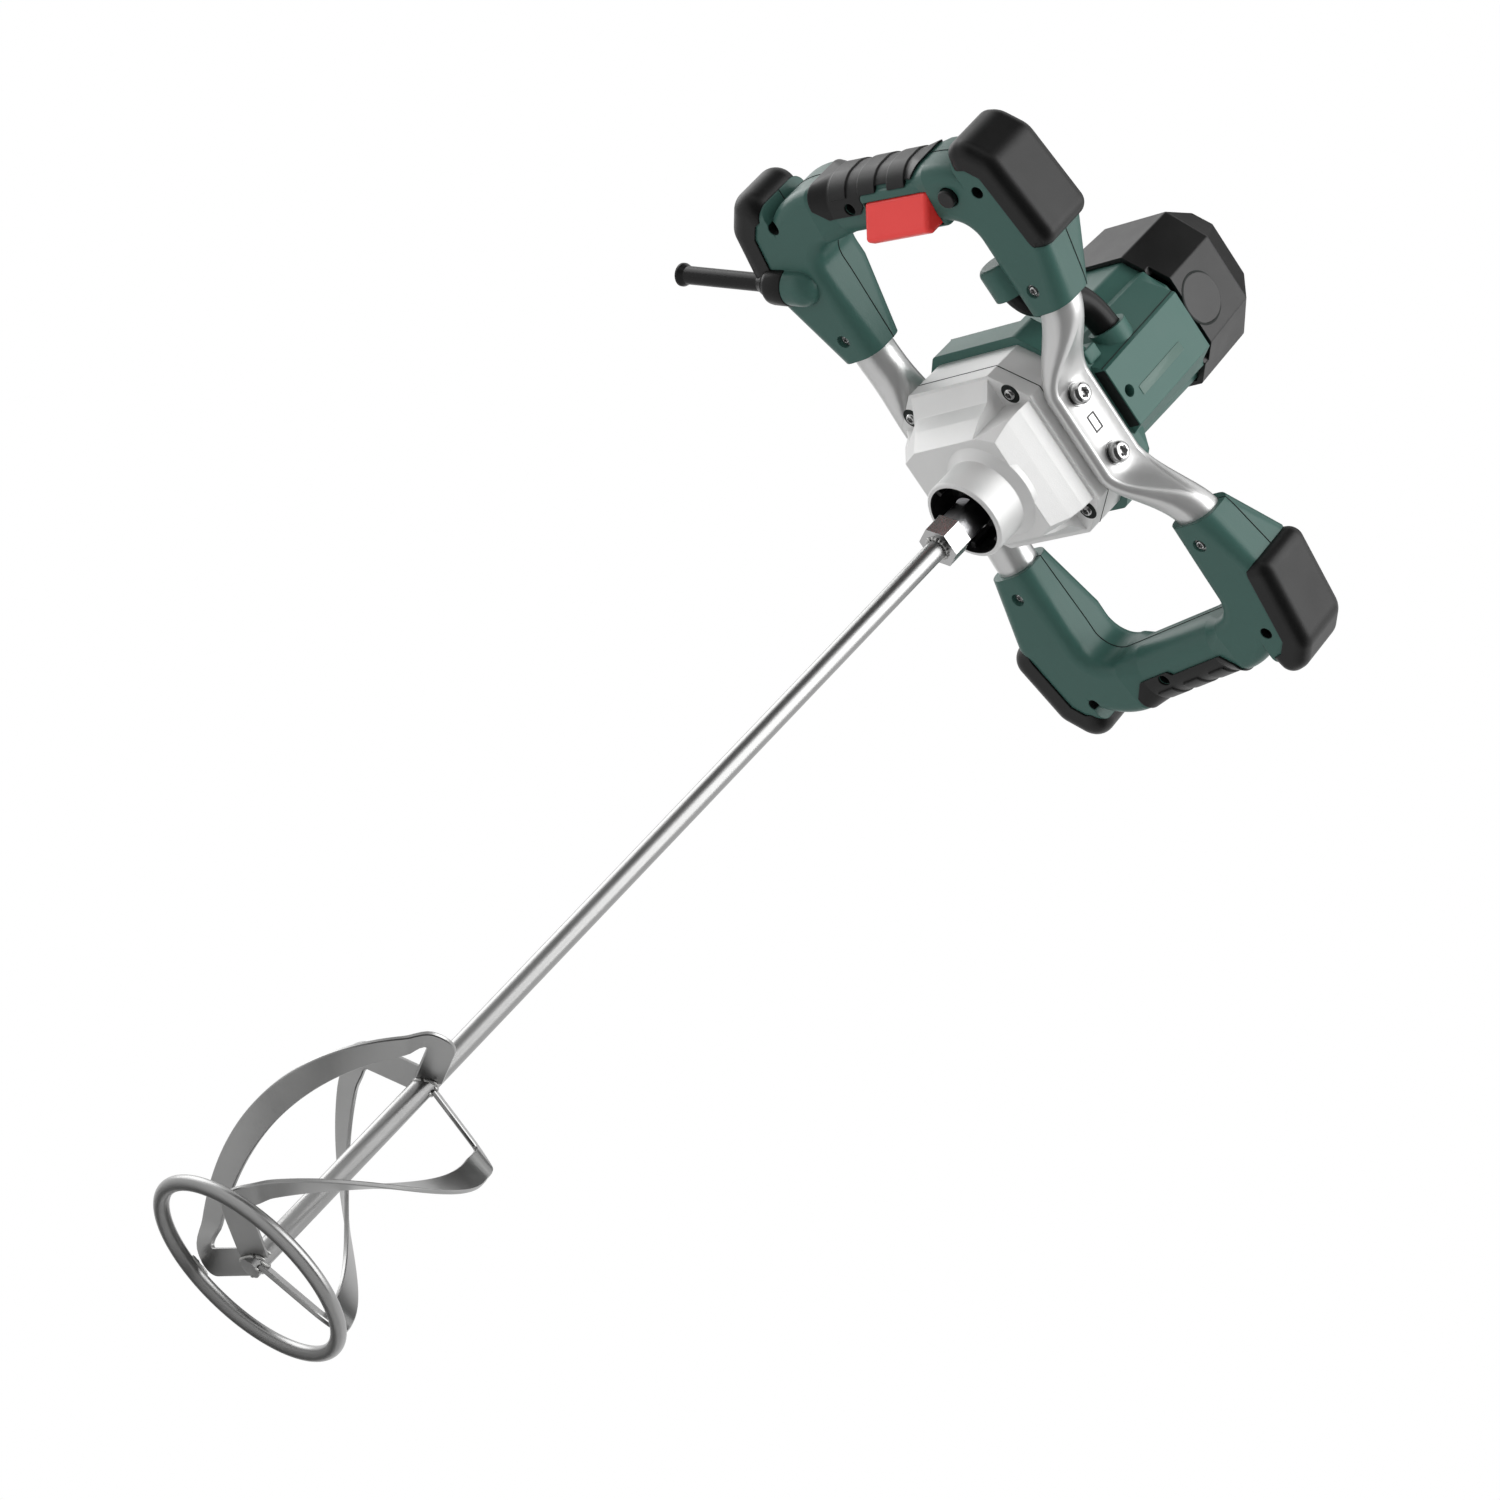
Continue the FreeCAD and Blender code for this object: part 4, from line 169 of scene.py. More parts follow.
# Inside the bore of the neck the colour is painted near black and not metallic, as the shade deep in the
# bore.
bore_r, bore_depth = 0.0224, 0.0235
bore_shade = (0.006, 0.006, 0.006)
tree = cast_alloy.node_tree
shader = tree.nodes["Principled BSDF"]
spot = place(tree, "TexCoord").outputs["Object"]
height = place(tree, "SeparateXYZ", {0: spot}).outputs["Z"]
within = maths(tree, "LESS_THAN", from_axis(tree, spot), bore_r)
neck_bore_mask = maths(tree, "MULTIPLY", within, maths(tree, "LESS_THAN", height, bore_depth))
blasted = shader.inputs["Base Color"].links[0].from_socket
tree.links.new(tinted(tree, neck_bore_mask, blasted, bore_shade), shader.inputs["Base Color"])
tree.links.new(ranged(tree, neck_bore_mask, cast_metallic, 0.0), shader.inputs["Metallic"])

# Housing seam: the fine dark joint where the machined faces of the two castings meet, drawn
# tight by the corner screws. It runs once round the outside of the housing.
# The same near-black material is also the painted shade in the housing screw pockets, the handle screw holes
# and under the foot of the front panel.
gap_shadow, tree, shader = blank("gap_shadow")
surface = place(tree, "Group", node_tree=skin)
tree.links.new(tinted(tree, surface.outputs["Tone"], (0.002, 0.005, 0.004), (0.004, 0.009, 0.007)),
               shader.inputs["Base Color"])
shader.inputs["Roughness"].default_value = 0.8


def meeting_line(node, up):
    """Runs of points round the top face of a lower shell."""
    facing_up, near_top = 0.999, 0.0001
    data = nodes[node].data
    top = max(vert.co.dot(up) for vert in data.vertices)
    uses = {}
    for polygon in data.polygons:
        if polygon.normal.dot(up) > facing_up and polygon.center.dot(up) > top - near_top:
            keys = [tuple(round(c, 5) for c in data.vertices[k].co) for k in polygon.vertices]
            for a, b in zip(keys, keys[1:] + keys[:1]):
                uses[frozenset((a, b))] = uses.get(frozenset((a, b)), 0) + 1
    after = {}
    for pair, count in uses.items():
        if count == 1 and len(pair) == 2:
            a, b = pair
            after.setdefault(a, []).append(b)
            after.setdefault(b, []).append(a)
    runs = []
    while after:
        at = next(iter(after))
        run = [at]
        while after.get(at):
            on = after[at].pop()
            after[on].remove(at)
            run.append(on)
            if not after[at]:
                del after[at]
            at = on
        if not after.get(at, True):
            del after[at]
        runs.append(run)
    return runs


def in_scene(name, data):
    """New object in the scene, made from its mesh, curve, lamp or camera."""
    made = bpy.data.objects.new(name, data)
    bpy.context.scene.collection.objects.link(made)
    return made


def dark_line(name, runs, radius):
    """Fine dark joint laid along runs of points."""
    line = bpy.data.curves.new(name, "CURVE")
    line.dimensions = "3D"
    line.bevel_depth = radius
    line.bevel_resolution = 1
    for run in runs:
        spline = line.splines.new("POLY")
        spline.points.add(len(run) - 1)
        spline.points.foreach_set("co", [c for point in run for c in (*point, 1.0)])
    line.materials.append(gap_shadow)
    joint = in_scene(name, line)
    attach(joint, "base")


def run_width(run):
    return max(point[0] for point in run) - min(point[0] for point in run)


upward = Vector((0.0, 0.0, 1.0))
seam_runs = meeting_line("gear_housing", upward)
dark_line("housing_seam", [max(seam_runs, key=run_width)], radius=0.0003)

# Housing screws: four zinc-plated star-drive screws, driven up from the corner pockets to pull
# the housing onto its cover. A dark ring round each head is painted shade, the shade deep in its pocket.
down = Vector((0.0, 0.0, -1.0))


def islands(node):
    """Points of each separate solid of a CAD node."""
    data = bmesh.new()
    data.from_mesh(nodes[node].data)
    bmesh.ops.remove_doubles(data, verts=data.verts, dist=1e-6)
    left = dict.fromkeys(data.verts)
    groups = []
    while left:
        waiting = [left.popitem()[0]]
        points = []
        while waiting:
            vert = waiting.pop()
            points.append(vert.co.copy())
            for link in vert.link_edges:
                other = link.other_vert(vert)
                if other in left:
                    del left[other]
                    waiting.append(other)
        groups.append(points)
    data.free()
    return groups


def seats(node, out):
    """Frame at the outer end of each turned piece of a node, its Z along out, and the piece's length."""
    turn = out.to_track_quat("Z", "Y").to_matrix()
    found = []
    for points in islands(node):
        local = [turn.transposed() @ point for point in points]
        low = [min(point[k] for point in local) for k in range(3)]
        high = [max(point[k] for point in local) for k in range(3)]
        tip = turn @ Vector(((low[0] + high[0]) / 2, (low[1] + high[1]) / 2, high[2]))
        found.append((Matrix.Translation(tip) @ turn.to_4x4(), high[2] - low[2]))
    return found


def join_rings(mesh, rings, closed=False):
    """Faces from each ring to the next and, where closed, over both ends."""
    for low, high in zip(rings, rings[1:]):
        for k in range(len(low)):
            after = (k + 1) % len(low)
            mesh.faces.new((low[k], low[after], high[after], high[k]))
    if closed:
        mesh.faces.new(rings[0])
        mesh.faces.new(rings[-1])


def turned_ring(mesh, seat, radius, height, lobes=0.0):
    steps, lobe_count = 48, 6.0
    ring = []
    for k in range(steps):
        angle = math.tau * k / steps
        reach = radius * (1.0 + lobes * math.cos(lobe_count * angle))
        ring.append(mesh.verts.new(seat @ Vector((reach * math.cos(angle), reach * math.sin(angle), height))))
    return ring


def turned(mesh, seat, profile, closed=False):
    """Skin turned about a seat's Z through stations of radius, height and, for a socket, lobes."""
    join_rings(mesh, [turned_ring(mesh, seat, *station) for station in profile], closed)


def finished(name, mesh, material, body):
    """Scene piece from a mesh, smooth but for its sharp edges, riding on its body."""
    bmesh.ops.recalc_face_normals(mesh, faces=mesh.faces)
    data = bpy.data.meshes.new(name)
    mesh.to_mesh(data)
    mesh.free()
    data.materials.append(material)
    data.polygons.foreach_set("use_smooth", [True] * len(data.polygons))
    data.set_sharp_from_angle(angle=math.radians(35.0))
    piece = in_scene(name, data)
    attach(piece, body)
    return piece


def grey(level):
    return (level, level, level)


bright_zinc = grained("bright_zinc", colour=grey(0.48), cloudy=grey(0.56), worn=grey(0.72), rough=0.22,
                      grain=2600.0, bump=0.1, edge_r=0.0003, metallic=1.0)


def star_screws(node, out, head_r, head_h, shank_r, socket_r, sunk=0.0):
    """Pan-head screws with a six-lobed socket, in place of a node's plain ones."""
    # Shares of the head's radius and depth, then of the socket's, with the depth of its lobes.
    head = ((0.97, 1.0), (1.0, 0.92), (1.0, 0.62), (0.95, 0.36), (0.84, 0.14), (0.68, 0.02), (0.6, 0.0))
    socket = ((1.08, 0.0, 0.1), (1.0, 0.05, 0.13), (0.94, 0.6, 0.13))
    mesh = bmesh.new()
    for seat, length in seats(node, out):
        profile = [(shank_r, sunk - length), (shank_r, -head_h)]
        profile += [(head_r * across, -head_h * deep) for across, deep in head]
        profile += [(socket_r * across, -head_h * deep, lobes) for across, deep, lobes in socket]
        turned(mesh, seat @ Matrix.Translation((0.0, 0.0, -sunk)), profile, closed=True)
    piece = finished(node + "_star", mesh, bright_zinc, "base")
    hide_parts(node)


star_screws("housing_screws", down, head_r=0.0036, head_h=0.004, shank_r=0.0025, socket_r=0.0019, sunk=0.0018)
# Dark ring at the roof of each pocket, round the head: painted shade for the deep pocket.
pocket_roof = 0.004
shade_ring_r, shade_ring_crest, shade_ring_rim = 0.0034, 0.0059, 0.0062
inner_lip, outer_lip = 0.0004, 0.0003
mesh = bmesh.new()
for seat, length in seats("housing_screws", down):
    turned(mesh, seat, [(shade_ring_r, -pocket_roof), (shade_ring_r, inner_lip - pocket_roof),
                        (shade_ring_crest, outer_lip - pocket_roof), (shade_ring_rim, -pocket_roof)])
finished("screw_pocket_shade", mesh, gap_shadow, "base")

# Spindle, gear train, bearings and motor: machined steel, copper and moulded inner pieces.
# Most are closed in; the spindle's flatted nose and the bearing seal show inside the neck.
machined = grained("machined_steel", colour=(0.42, 0.42, 0.43), cloudy=(0.52, 0.52, 0.53), worn=grey(0.7),
                   rough=0.3, grain=2600.0, bump=0.12, edge_r=0.0003, metallic=1.0)
dress(machined, "spindle", "spindle_gear", "spindle_bearing", "spindle_needle_bearing", "idler_shaft",
      "idler_gear", "idler_bearings", "armature_shaft", "armature_core", "lower_motor_bearing",
      "upper_motor_bearing", "stator")
copper = grained("turned_copper", colour=(0.6, 0.26, 0.13), cloudy=(0.68, 0.32, 0.18), worn=(0.8, 0.45, 0.3),
                 rough=0.3, grain=2000.0, bump=0.1, edge_r=0.0002, metallic=1.0)
dress(copper, "commutator")
inner_black = grained("inner_black", colour=grey(0.02), cloudy=grey(0.03), worn=grey(0.05), rough=0.6,
                      grain=1400.0, bump=0.2, edge_r=0.0003)
dress(inner_black, "spindle_seal", "fan", "brush_bracket", "front_carbon_brush", "rear_carbon_brush",
      "switch_module")

# Motor housing: one moulding of glass-filled green plastic with a spark-eroded grain, a wide
# base on the gear cover, an octagonal barrel and a raised front panel.
housing_green = grained("housing_green", colour=(0.047, 0.126, 0.106), cloudy=(0.055, 0.139, 0.117),
                        worn=(0.052, 0.128, 0.106), rough=0.4, grain=2200.0, bump=0.14, edge_r=0.0008,
                        gloss=0.3)
dress(housing_green, "motor_housing")

# Label strip and cable lug: a bare satin film stuck on the front panel, and a small moulded lug
# beside the tube that keeps the wiring elbow off it.
front = Vector((0.0, 1.0, 0.0))


def rounded_plate(name, seat, half_x, half_y, corner_r, thickness, rim, material):
    """Plate with round corners and a softened top edge, standing on the XY plane of its seat."""
    corner_steps = 6
    mesh = bmesh.new()
    rings = []
    for inset, height in ((0.0, 0.0), (0.0, thickness - rim), (rim * 0.3, thickness - rim * 0.3),
                          (rim, thickness)):
        ring = []
        for quarter, (sx, sy) in enumerate(((1, 1), (-1, 1), (-1, -1), (1, -1))):
            for k in range(corner_steps + 1):
                angle = math.pi / 2 * (quarter + k / corner_steps)
                x = sx * (half_x - corner_r) + (corner_r - inset) * math.cos(angle)
                y = sy * (half_y - corner_r) + (corner_r - inset) * math.sin(angle)
                ring.append(mesh.verts.new(seat @ Vector((x, y, height))))
        rings.append(ring)
    join_rings(mesh, rings, closed=True)
    finished(name, mesh, material, "base")


def facing(at, out, up):
    """Frame at a point with its Z along out and its Y near up."""
    out = Vector(out).normalized()
    across = Vector(up).cross(out).normalized()
    return Matrix.Translation(at) @ Matrix((across, out.cross(across), out)).transposed().to_4x4()


panel_low, panel_high = Vector((0.0, 0.047, 0.103)), Vector((0.0, 0.041, 0.181))
panel_up = (panel_high - panel_low).normalized()
panel_out = Vector((0.0, panel_up.z, -panel_up.y))
label_film = grained("label_film", colour=(0.05, 0.12, 0.095), cloudy=(0.06, 0.135, 0.11),
                     worn=(0.1, 0.18, 0.15), rough=0.36, grain=2800.0, bump=0.05, edge_r=0.0002)
label_rise, label_shift = 0.037, -0.0054
label_at = panel_low + panel_up * label_rise + Vector((label_shift, 0.0, 0.0))
rounded_plate("label_strip", facing(label_at, panel_out, panel_up), half_x=0.003, half_y=0.0225,
              corner_r=0.0008, thickness=0.00035, rim=0.0002, material=label_film)
lug_at = Vector((0.0285, 0.031, 0.1085))
rounded_plate("cable_lug", facing(lug_at, front, upward), half_x=0.0045, half_y=0.0055,
              corner_r=0.0015, thickness=0.0085, rim=0.0012, material=housing_green)

# Panel foot shade and panel joint: a black sheet under the foot of the front panel, painted shade where the
# panel sits between the tube and the housing, and the fine joint that runs up the panel's right side.
foot_shade_at = Vector((0.0, 0.0393, panel_low.z))
rounded_plate("panel_foot_shade", facing(foot_shade_at, down, front), half_x=0.0188, half_y=0.0068,
              corner_r=0.001, thickness=0.0004, rim=0.0002, material=gap_shadow)
panel_side = Vector((0.0202, -0.0021, 0.0))
panel_edge = [panel_low + panel_side, panel_high + panel_side]
dark_line("panel_joint", [panel_edge], radius=0.0003)

# Motor end cap and brush caps: black glass-filled plastic, the end cap screwed over the brush gear
# and a round cap over each brush. A fine gap shows round the front one, on its leaning facet.
cap_black = grained("cap_black", colour=grey(0.004), cloudy=grey(0.007), worn=grey(0.03), rough=0.38,
                    grain=1900.0, bump=0.15, edge_r=0.0008, gloss=0.4)
dress(cap_black, "motor_end_cap", "front_brush_cap", "rear_brush_cap")
disc_low, disc_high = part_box("front_brush_cap")
disc_r = (disc_high.x - disc_low.x) / 2
facet_out = Vector((0.0, 0.9925, 0.122))
gap_seat = facing((0.0, disc_high.y - 0.0001, (disc_low.z + disc_high.z) / 2), facet_out, upward)
gap_foot, gap_top, gap_width, gap_flare = -0.001, 0.0002, 0.0013, 0.0015
mesh = bmesh.new()
turned(mesh, gap_seat, [(disc_r, gap_foot), (disc_r, gap_top), (disc_r + gap_width, gap_top),
                        (disc_r + gap_flare, gap_foot)])
finished("brush_cap_gap", mesh, gap_shadow, "base")

# Frame tubes: drawn alloy tube, bent out to both sides, and pressed flat and dished in the middle,
# where each is bolted to the gear cover. The round ends go into the legs of the handles.
tube_satin = grained("tube_satin", colour=(0.6, 0.6, 0.596), cloudy=(0.68, 0.68, 0.676),
                     worn=(0.8, 0.8, 0.79), rough=0.32, grain=2400.0, bump=0.12, edge_r=0.0005,
                     metallic=0.6)
dress(tube_satin, "front_frame_tube", "rear_frame_tube")

# Stamped mark: a plain rectangle struck into the flat of the front tube with a punch, between its
# two screws. Only its fine dark outline is drawn, painted as the shade at the edge of the dent.
stamp_shadow = grained("stamp_shadow", colour=grey(0.07), cloudy=grey(0.1), worn=grey(0.14), rough=0.5,
                       grain=2400.0, bump=0.1, edge_r=0.0001)
stamp_half_x, stamp_half_z, stamp_line, stamp_lift = 0.0055, 0.0032, 0.0009, 0.0003
washer_low, washer_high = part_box("front_frame_washers")
stamp_seat = facing((0.001, washer_low.y + 0.0001, (washer_low.z + washer_high.z) / 2), front, upward)
side_steps, clear_of_tube = 10, 0.02
stamp_corners = ((1, 1), (-1, 1), (-1, -1), (1, -1))
mesh = bmesh.new()
outline = []
for inset, lift in ((0.0, -stamp_lift), (0.0, stamp_lift), (stamp_line, stamp_lift),
                    (stamp_line, -stamp_lift)):
    ring = []
    for k in range(4 * side_steps):
        side, step = divmod(k, side_steps)
        (x0, z0), (x1, z1) = stamp_corners[side], stamp_corners[(side + 1) % 4]
        x = (stamp_half_x - inset) * (x0 + (x1 - x0) * step / side_steps)
        z = (stamp_half_z - inset) * (z0 + (z1 - z0) * step / side_steps)
        above = stamp_seat @ Vector((x, z, clear_of_tube))
        on_tube = nodes["front_frame_tube"].ray_cast(above, -front)[1]
        ring.append(mesh.verts.new(on_tube + front * lift))
    outline.append(ring)
join_rings(mesh, outline + outline[:1])
finished("stamp_edge_shade", mesh, stamp_shadow, "base")

# Frame screws: pan-head star-drive screws, each on a flat washer and a split spring washer, that
# clamp the flattened tubes to the gear cover.
# The washers' zinc is a darker copy of the screws' zinc, painted shade for where they sit under the heads.
shaded_washer_zinc = grained("shaded_washer_zinc", colour=grey(0.3), cloudy=grey(0.38), worn=grey(0.6), rough=0.25,
                      grain=2600.0, bump=0.1, edge_r=0.0003, metallic=1.0)


def washer_stack(node, out):
    """Flat washer under a split spring washer, in place of a node's plain ones."""
    hole_r, flat_r, split_r, ease = 0.0034, 0.0072, 0.0062, 0.0002
    steps, slit, climb = 44, 0.24, 0.0004
    mesh = bmesh.new()
    for seat, height in seats(node, out):
        flat_top = height * 0.42
        foot = seat @ Matrix.Translation((0.0, 0.0, -height))
        turned(mesh, foot, [(hole_r, 0.0), (flat_r - ease, 0.0), (flat_r, flat_top * 0.2),
                            (flat_r, flat_top * 0.85), (flat_r - ease, flat_top), (hole_r, flat_top),
                            (hole_r, 0.0)])
        section = [(hole_r, flat_top), (split_r - ease, flat_top), (split_r, height * 0.55),
                   (split_r, height * 0.85), (split_r - ease, height), (hole_r, height)]
        loops = []
        for k in range(steps + 1):
            angle = slit + (math.tau - 2 * slit) * k / steps
            rise = climb * (k / steps - 0.5)
            loops.append([mesh.verts.new(foot @ Vector((r * math.cos(angle), r * math.sin(angle), z + rise)))
                          for r, z in section])
        join_rings(mesh, loops, closed=True)
    piece = finished(node + "_stack", mesh, shaded_washer_zinc, "base")
    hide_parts(node)


rear = Vector((0.0, -1.0, 0.0))
for end, out in (("front", front), ("rear", rear)):
    washer_stack(end + "_frame_washers", out)
    star_screws(end + "_frame_screws", out, head_r=0.0064, head_h=0.0046, shank_r=0.003, socket_r=0.0029)

# D handles: mouldings of glass-filled green plastic, in two shells each that close over the tube
# ends and are screwed together from below.
handle_green = grained("handle_green", colour=(0.041, 0.109, 0.092), cloudy=(0.048, 0.12, 0.102),
                       worn=(0.046, 0.11, 0.092), rough=0.36, grain=2200.0, bump=0.14, edge_r=0.0009,
                       gloss=0.3)
dress(handle_green, "right_handle_lower_shell", "right_handle_upper_shell", "left_handle_lower_shell",
      "left_handle_upper_shell")

# Handle screws: small star-drive screws sunk in round holes, two through the legs into the tube
# ends and three through the shells of each handle, these in deep holes whose walls are painted dark as shade.
handle_tilt = math.radians(5.0)
handle_down = Vector((0.0, math.sin(handle_tilt), -math.cos(handle_tilt)))


def painted_bore_shade(name, node, out, hole_r, around):
    """Inner wall of each screw's hole, painted dark as the shade in it, up to just inside the mouth in the
    pieces around it.
    """
    steps, mouth, proud, deepest = 48, 0.0004, 0.0001, 0.018
    mesh = bmesh.new()
    for seat, length in seats(node, out):
        wall = [[], []]
        for k in range(steps):
            angle = math.tau * k / steps
            spoke = Vector((math.cos(angle), math.sin(angle), 0.0))
            start = seat @ (spoke * (hole_r + mouth))
            depth = mouth
            for each in around:
                met, at = nodes[each].ray_cast(start, out, distance=deepest)[:2]
                if met:
                    depth = max(depth, (at - start).length)
            for ring, height in zip(wall, (0.0, depth - mouth)):
                ring.append(mesh.verts.new(seat @ (spoke * (hole_r - proud) + Vector((0.0, 0.0, height)))))
        join_rings(mesh, wall)
    finished(name, mesh, gap_shadow, "base")


for side in ("right", "left"):
    shells = [side + piece for piece in ("_handle_lower_shell", "_grip_pad", "_front_bumper", "_rear_bumper")]
    # Each shell screw's hole gets a wall painted dark as shade.
    painted_bore_shade(side + "_hole_shade", side + "_shell_screws", handle_down, hole_r=0.0037, around=shells)
    star_screws(side + "_leg_screws", handle_down, head_r=0.0029, head_h=0.0024, shank_r=0.002,
                socket_r=0.0016)
    star_screws(side + "_shell_screws", handle_down, head_r=0.0035, head_h=0.0024, shank_r=0.002,
                socket_r=0.0019)

# Parting lines: the fine dark gap where the rims of a handle's two mouldings meet, once the shell
# screws have drawn them together.
least_points = 40
for side in ("right", "left"):
    runs = meeting_line(side + "_handle_lower_shell", -handle_down)
    rims = [run for run in runs if len(run) > least_points]
    dark_line(side + "_parting_line", rims, radius=0.00035)

# Bumpers and grip pads: soft black rubber, moulded onto the outer corners of the handles, which
# take the knocks when the tool is laid down, and onto the outside of the grips.
bumper_rubber = grained("bumper_rubber", colour=grey(0.004), cloudy=grey(0.007), worn=grey(0.025), rough=0.42,
                        grain=1700.0, bump=0.15, edge_r=0.001, gloss=0.3)
dress(bumper_rubber, "right_front_bumper", "right_rear_bumper", "left_front_bumper", "left_rear_bumper",
      "right_grip_pad", "left_grip_pad")

# Trigger and lock button: one red moulding with a half-gloss face, worn smooth by the finger, that
# slides up into the right grip against the switch, and a small black button beside it.
trigger_red = grained("trigger_red", colour=(0.94, 0.045, 0.04), cloudy=(0.98, 0.056, 0.05),
                      worn=(0.98, 0.22, 0.2), rough=0.36, grain=2200.0, bump=0.1, edge_r=0.0024)
dress(trigger_red, "trigger")
dress(cap_black, "lock_button")

# Cable sleeve: smooth black rubber, glossier than the bumpers, that keeps the mains cable from
# kinking. Its thick collar is pushed over the moulded boss of the handle.
cable_black = grained("cable_black", colour=grey(0.004), cloudy=grey(0.007), worn=grey(0.02), rough=0.34,
                      grain=1500.0, bump=0.1, edge_r=0.0006, gloss=0.2)
dress(cable_black, "cable_sleeve")
sleeve_at = Vector((0.133, -0.092, 0.066))
sleeve_turn = math.radians(17.5)
sleeve_out = Vector((math.sin(sleeve_turn), -math.cos(sleeve_turn), 0.0))
collar = [(0.0114, 0.0085), (0.0119, 0.0088), (0.0121, 0.0095), (0.0121, 0.0205), (0.0117, 0.0226),
          (0.0108, 0.0238), (0.0088, 0.0244), (0.0076, 0.0252), (0.0068, 0.0275), (0.0062, 0.031),
          (0.005, 0.031)]
mesh = bmesh.new()
turned(mesh, facing(sleeve_at, sleeve_out, upward), collar)
finished("sleeve_collar", mesh, cable_black, "base")

# Wiring elbow: one smooth rubber moulding in place of the conduit's plain runs, from the boss on the
# handle's front leg up and over into the collar of the motor housing. Each point of the route has
# its pull on the curve as a fourth value.
elbow_r = 0.0085
route = ((0.098, 0.04, 0.086, 1.0), (0.074, 0.037, 0.089, 2.0),
         (0.057, 0.033, 0.131, 2.0), (0.022, 0.031, 0.134, 1.0))
line = bpy.data.curves.new("wiring_elbow", "CURVE")
line.dimensions = "3D"
line.bevel_depth = elbow_r
line.bevel_resolution = 8
line.use_fill_caps = True
spline = line.splines.new("NURBS")
spline.points.add(len(route) - 1)
spline.points.foreach_set("co", [c for point in route for c in point])
spline.use_endpoint_u = True
spline.order_u = 3
spline.resolution_u = 24
line.materials.append(cable_black)
elbow = in_scene("wiring_elbow", line)
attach(elbow, "base")
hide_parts("cable_conduit")

# Stirrer: bright zinc-plated steel, a hexagon on a long rod with three helical ribbons and a
# round ring welded to its foot.
stirrer_steel = grained("stirrer_steel", colour=(0.29, 0.29, 0.288), cloudy=(0.35, 0.35, 0.348),
                        worn=(0.56, 0.56, 0.555), rough=0.33, grain=1800.0, bump=0.015, edge_r=0.0001,
                        metallic=1.0)
dress(stirrer_steel, "stirrer_shaft", "stirrer_ring")
dress(bright_zinc, "stirrer_hexagon")
rod_low, rod_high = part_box("stirrer_shaft")
rod_r = (rod_high.x - rod_low.x) / 2
ring_low, ring_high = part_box("stirrer_ring")
ribbon_foot = ring_high.z + 0.0015
ribbon_rise, ribbon_turn, ribbon_mid, ribbon_half = 0.132, math.radians(150.0), 0.048, 0.0072
ribbon_climb = math.atan2(ribbon_rise, ribbon_turn * ribbon_mid)
ribbon_run = ribbon_rise / math.sin(ribbon_climb)
ribbon_starts = [math.radians(30.0 + 120.0 * number) for number in range(3)]
arm_pitch = math.radians(31.0)


def polar(reach, angle, height):
    return Vector((reach * math.cos(angle), reach * math.sin(angle), height))


def on_ribbon(start, reach, along):
    """Point of the strip's middle face: a flat pitched arm at each end, a helix between them."""
    arm_flat, arm_ease = ribbon_half * 0.8, 0.014
    share = along / ribbon_run
    helix = polar(reach, start + ribbon_turn * share, ribbon_foot + ribbon_rise * share)
    end = 0.0 if share < 0.5 else 1.0
    over = along - ribbon_run * end
    angle = start + ribbon_turn * end
    across = Vector((-math.sin(angle), math.cos(angle), 0.0))
    arm = polar(reach, angle, 0.0) + across * (over * math.cos(arm_pitch))
    arm.z = ribbon_foot + ribbon_rise * end + over * math.sin(arm_pitch)
    ease = min(max((abs(over) - arm_flat) / arm_ease, 0.0), 1.0)
    return arm.lerp(helix, ease * ease * (3.0 - 2.0 * ease))


def ribbon(mesh, start):
    """One bent strip with rounded corners and eased edges, from the rod out, up and back to it."""
    bend, plate, ease, small = 0.0095, 0.0024, 0.0005, 0.0002
    arm_steps, bend_steps, run_steps = 8, 10, 60
    root = rod_r * 0.6
    # Each place on the strip's middle line: its reach, its way along, and the heading of both.
    path = []
    for k in range(arm_steps):
        path.append((root + (ribbon_mid - bend - root) * k / arm_steps, 0.0, 1.0, 0.0))
    for k in range(bend_steps + 1):
        angle = math.pi / 2 * k / bend_steps
        reach = ribbon_mid - bend + bend * math.sin(angle)
        path.append((reach, bend - bend * math.cos(angle), math.cos(angle), math.sin(angle)))
    lower_end = list(path)
    for k in range(1, run_steps):
        path.append((ribbon_mid, bend + (ribbon_run - 2 * bend) * k / run_steps, 0.0, 1.0))
    path += [(reach, ribbon_run - along, -go, rise) for reach, along, go, rise in reversed(lower_end)]
    # Corners of the plate: its side and face, and which way each corner is eased.
    section = [(-1, -1, 0, 1), (-1, -1, 1, 0), (1, -1, -1, 0), (1, -1, 0, 1),
               (1, 1, 0, -1), (1, 1, -1, 0), (-1, 1, 1, 0), (-1, 1, 0, -1)]
    loops = []
    for reach, along, go, rise in path:
        loop = []
        for side, face, in_side, in_face in section:
            offset = side * ribbon_half + in_side * ease
            a, b = reach - rise * offset, along + go * offset
            slope_a = on_ribbon(start, a + small, b) - on_ribbon(start, a - small, b)
            slope_b = on_ribbon(start, a, b + small) - on_ribbon(start, a, b - small)
            up = slope_a.cross(slope_b).normalized()
            loop.append(mesh.verts.new(on_ribbon(start, a, b) + up * (face * plate / 2 + in_face * ease)))
        loops.append(loop)
    join_rings(mesh, loops, closed=True)


for number, start in enumerate(ribbon_starts, 1):
    mesh = bmesh.new()
    ribbon(mesh, start)
    piece = finished("stirrer_ribbon_%d" % number, mesh, stirrer_steel, "spindle")
    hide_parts("stirrer_blade_%d" % number)

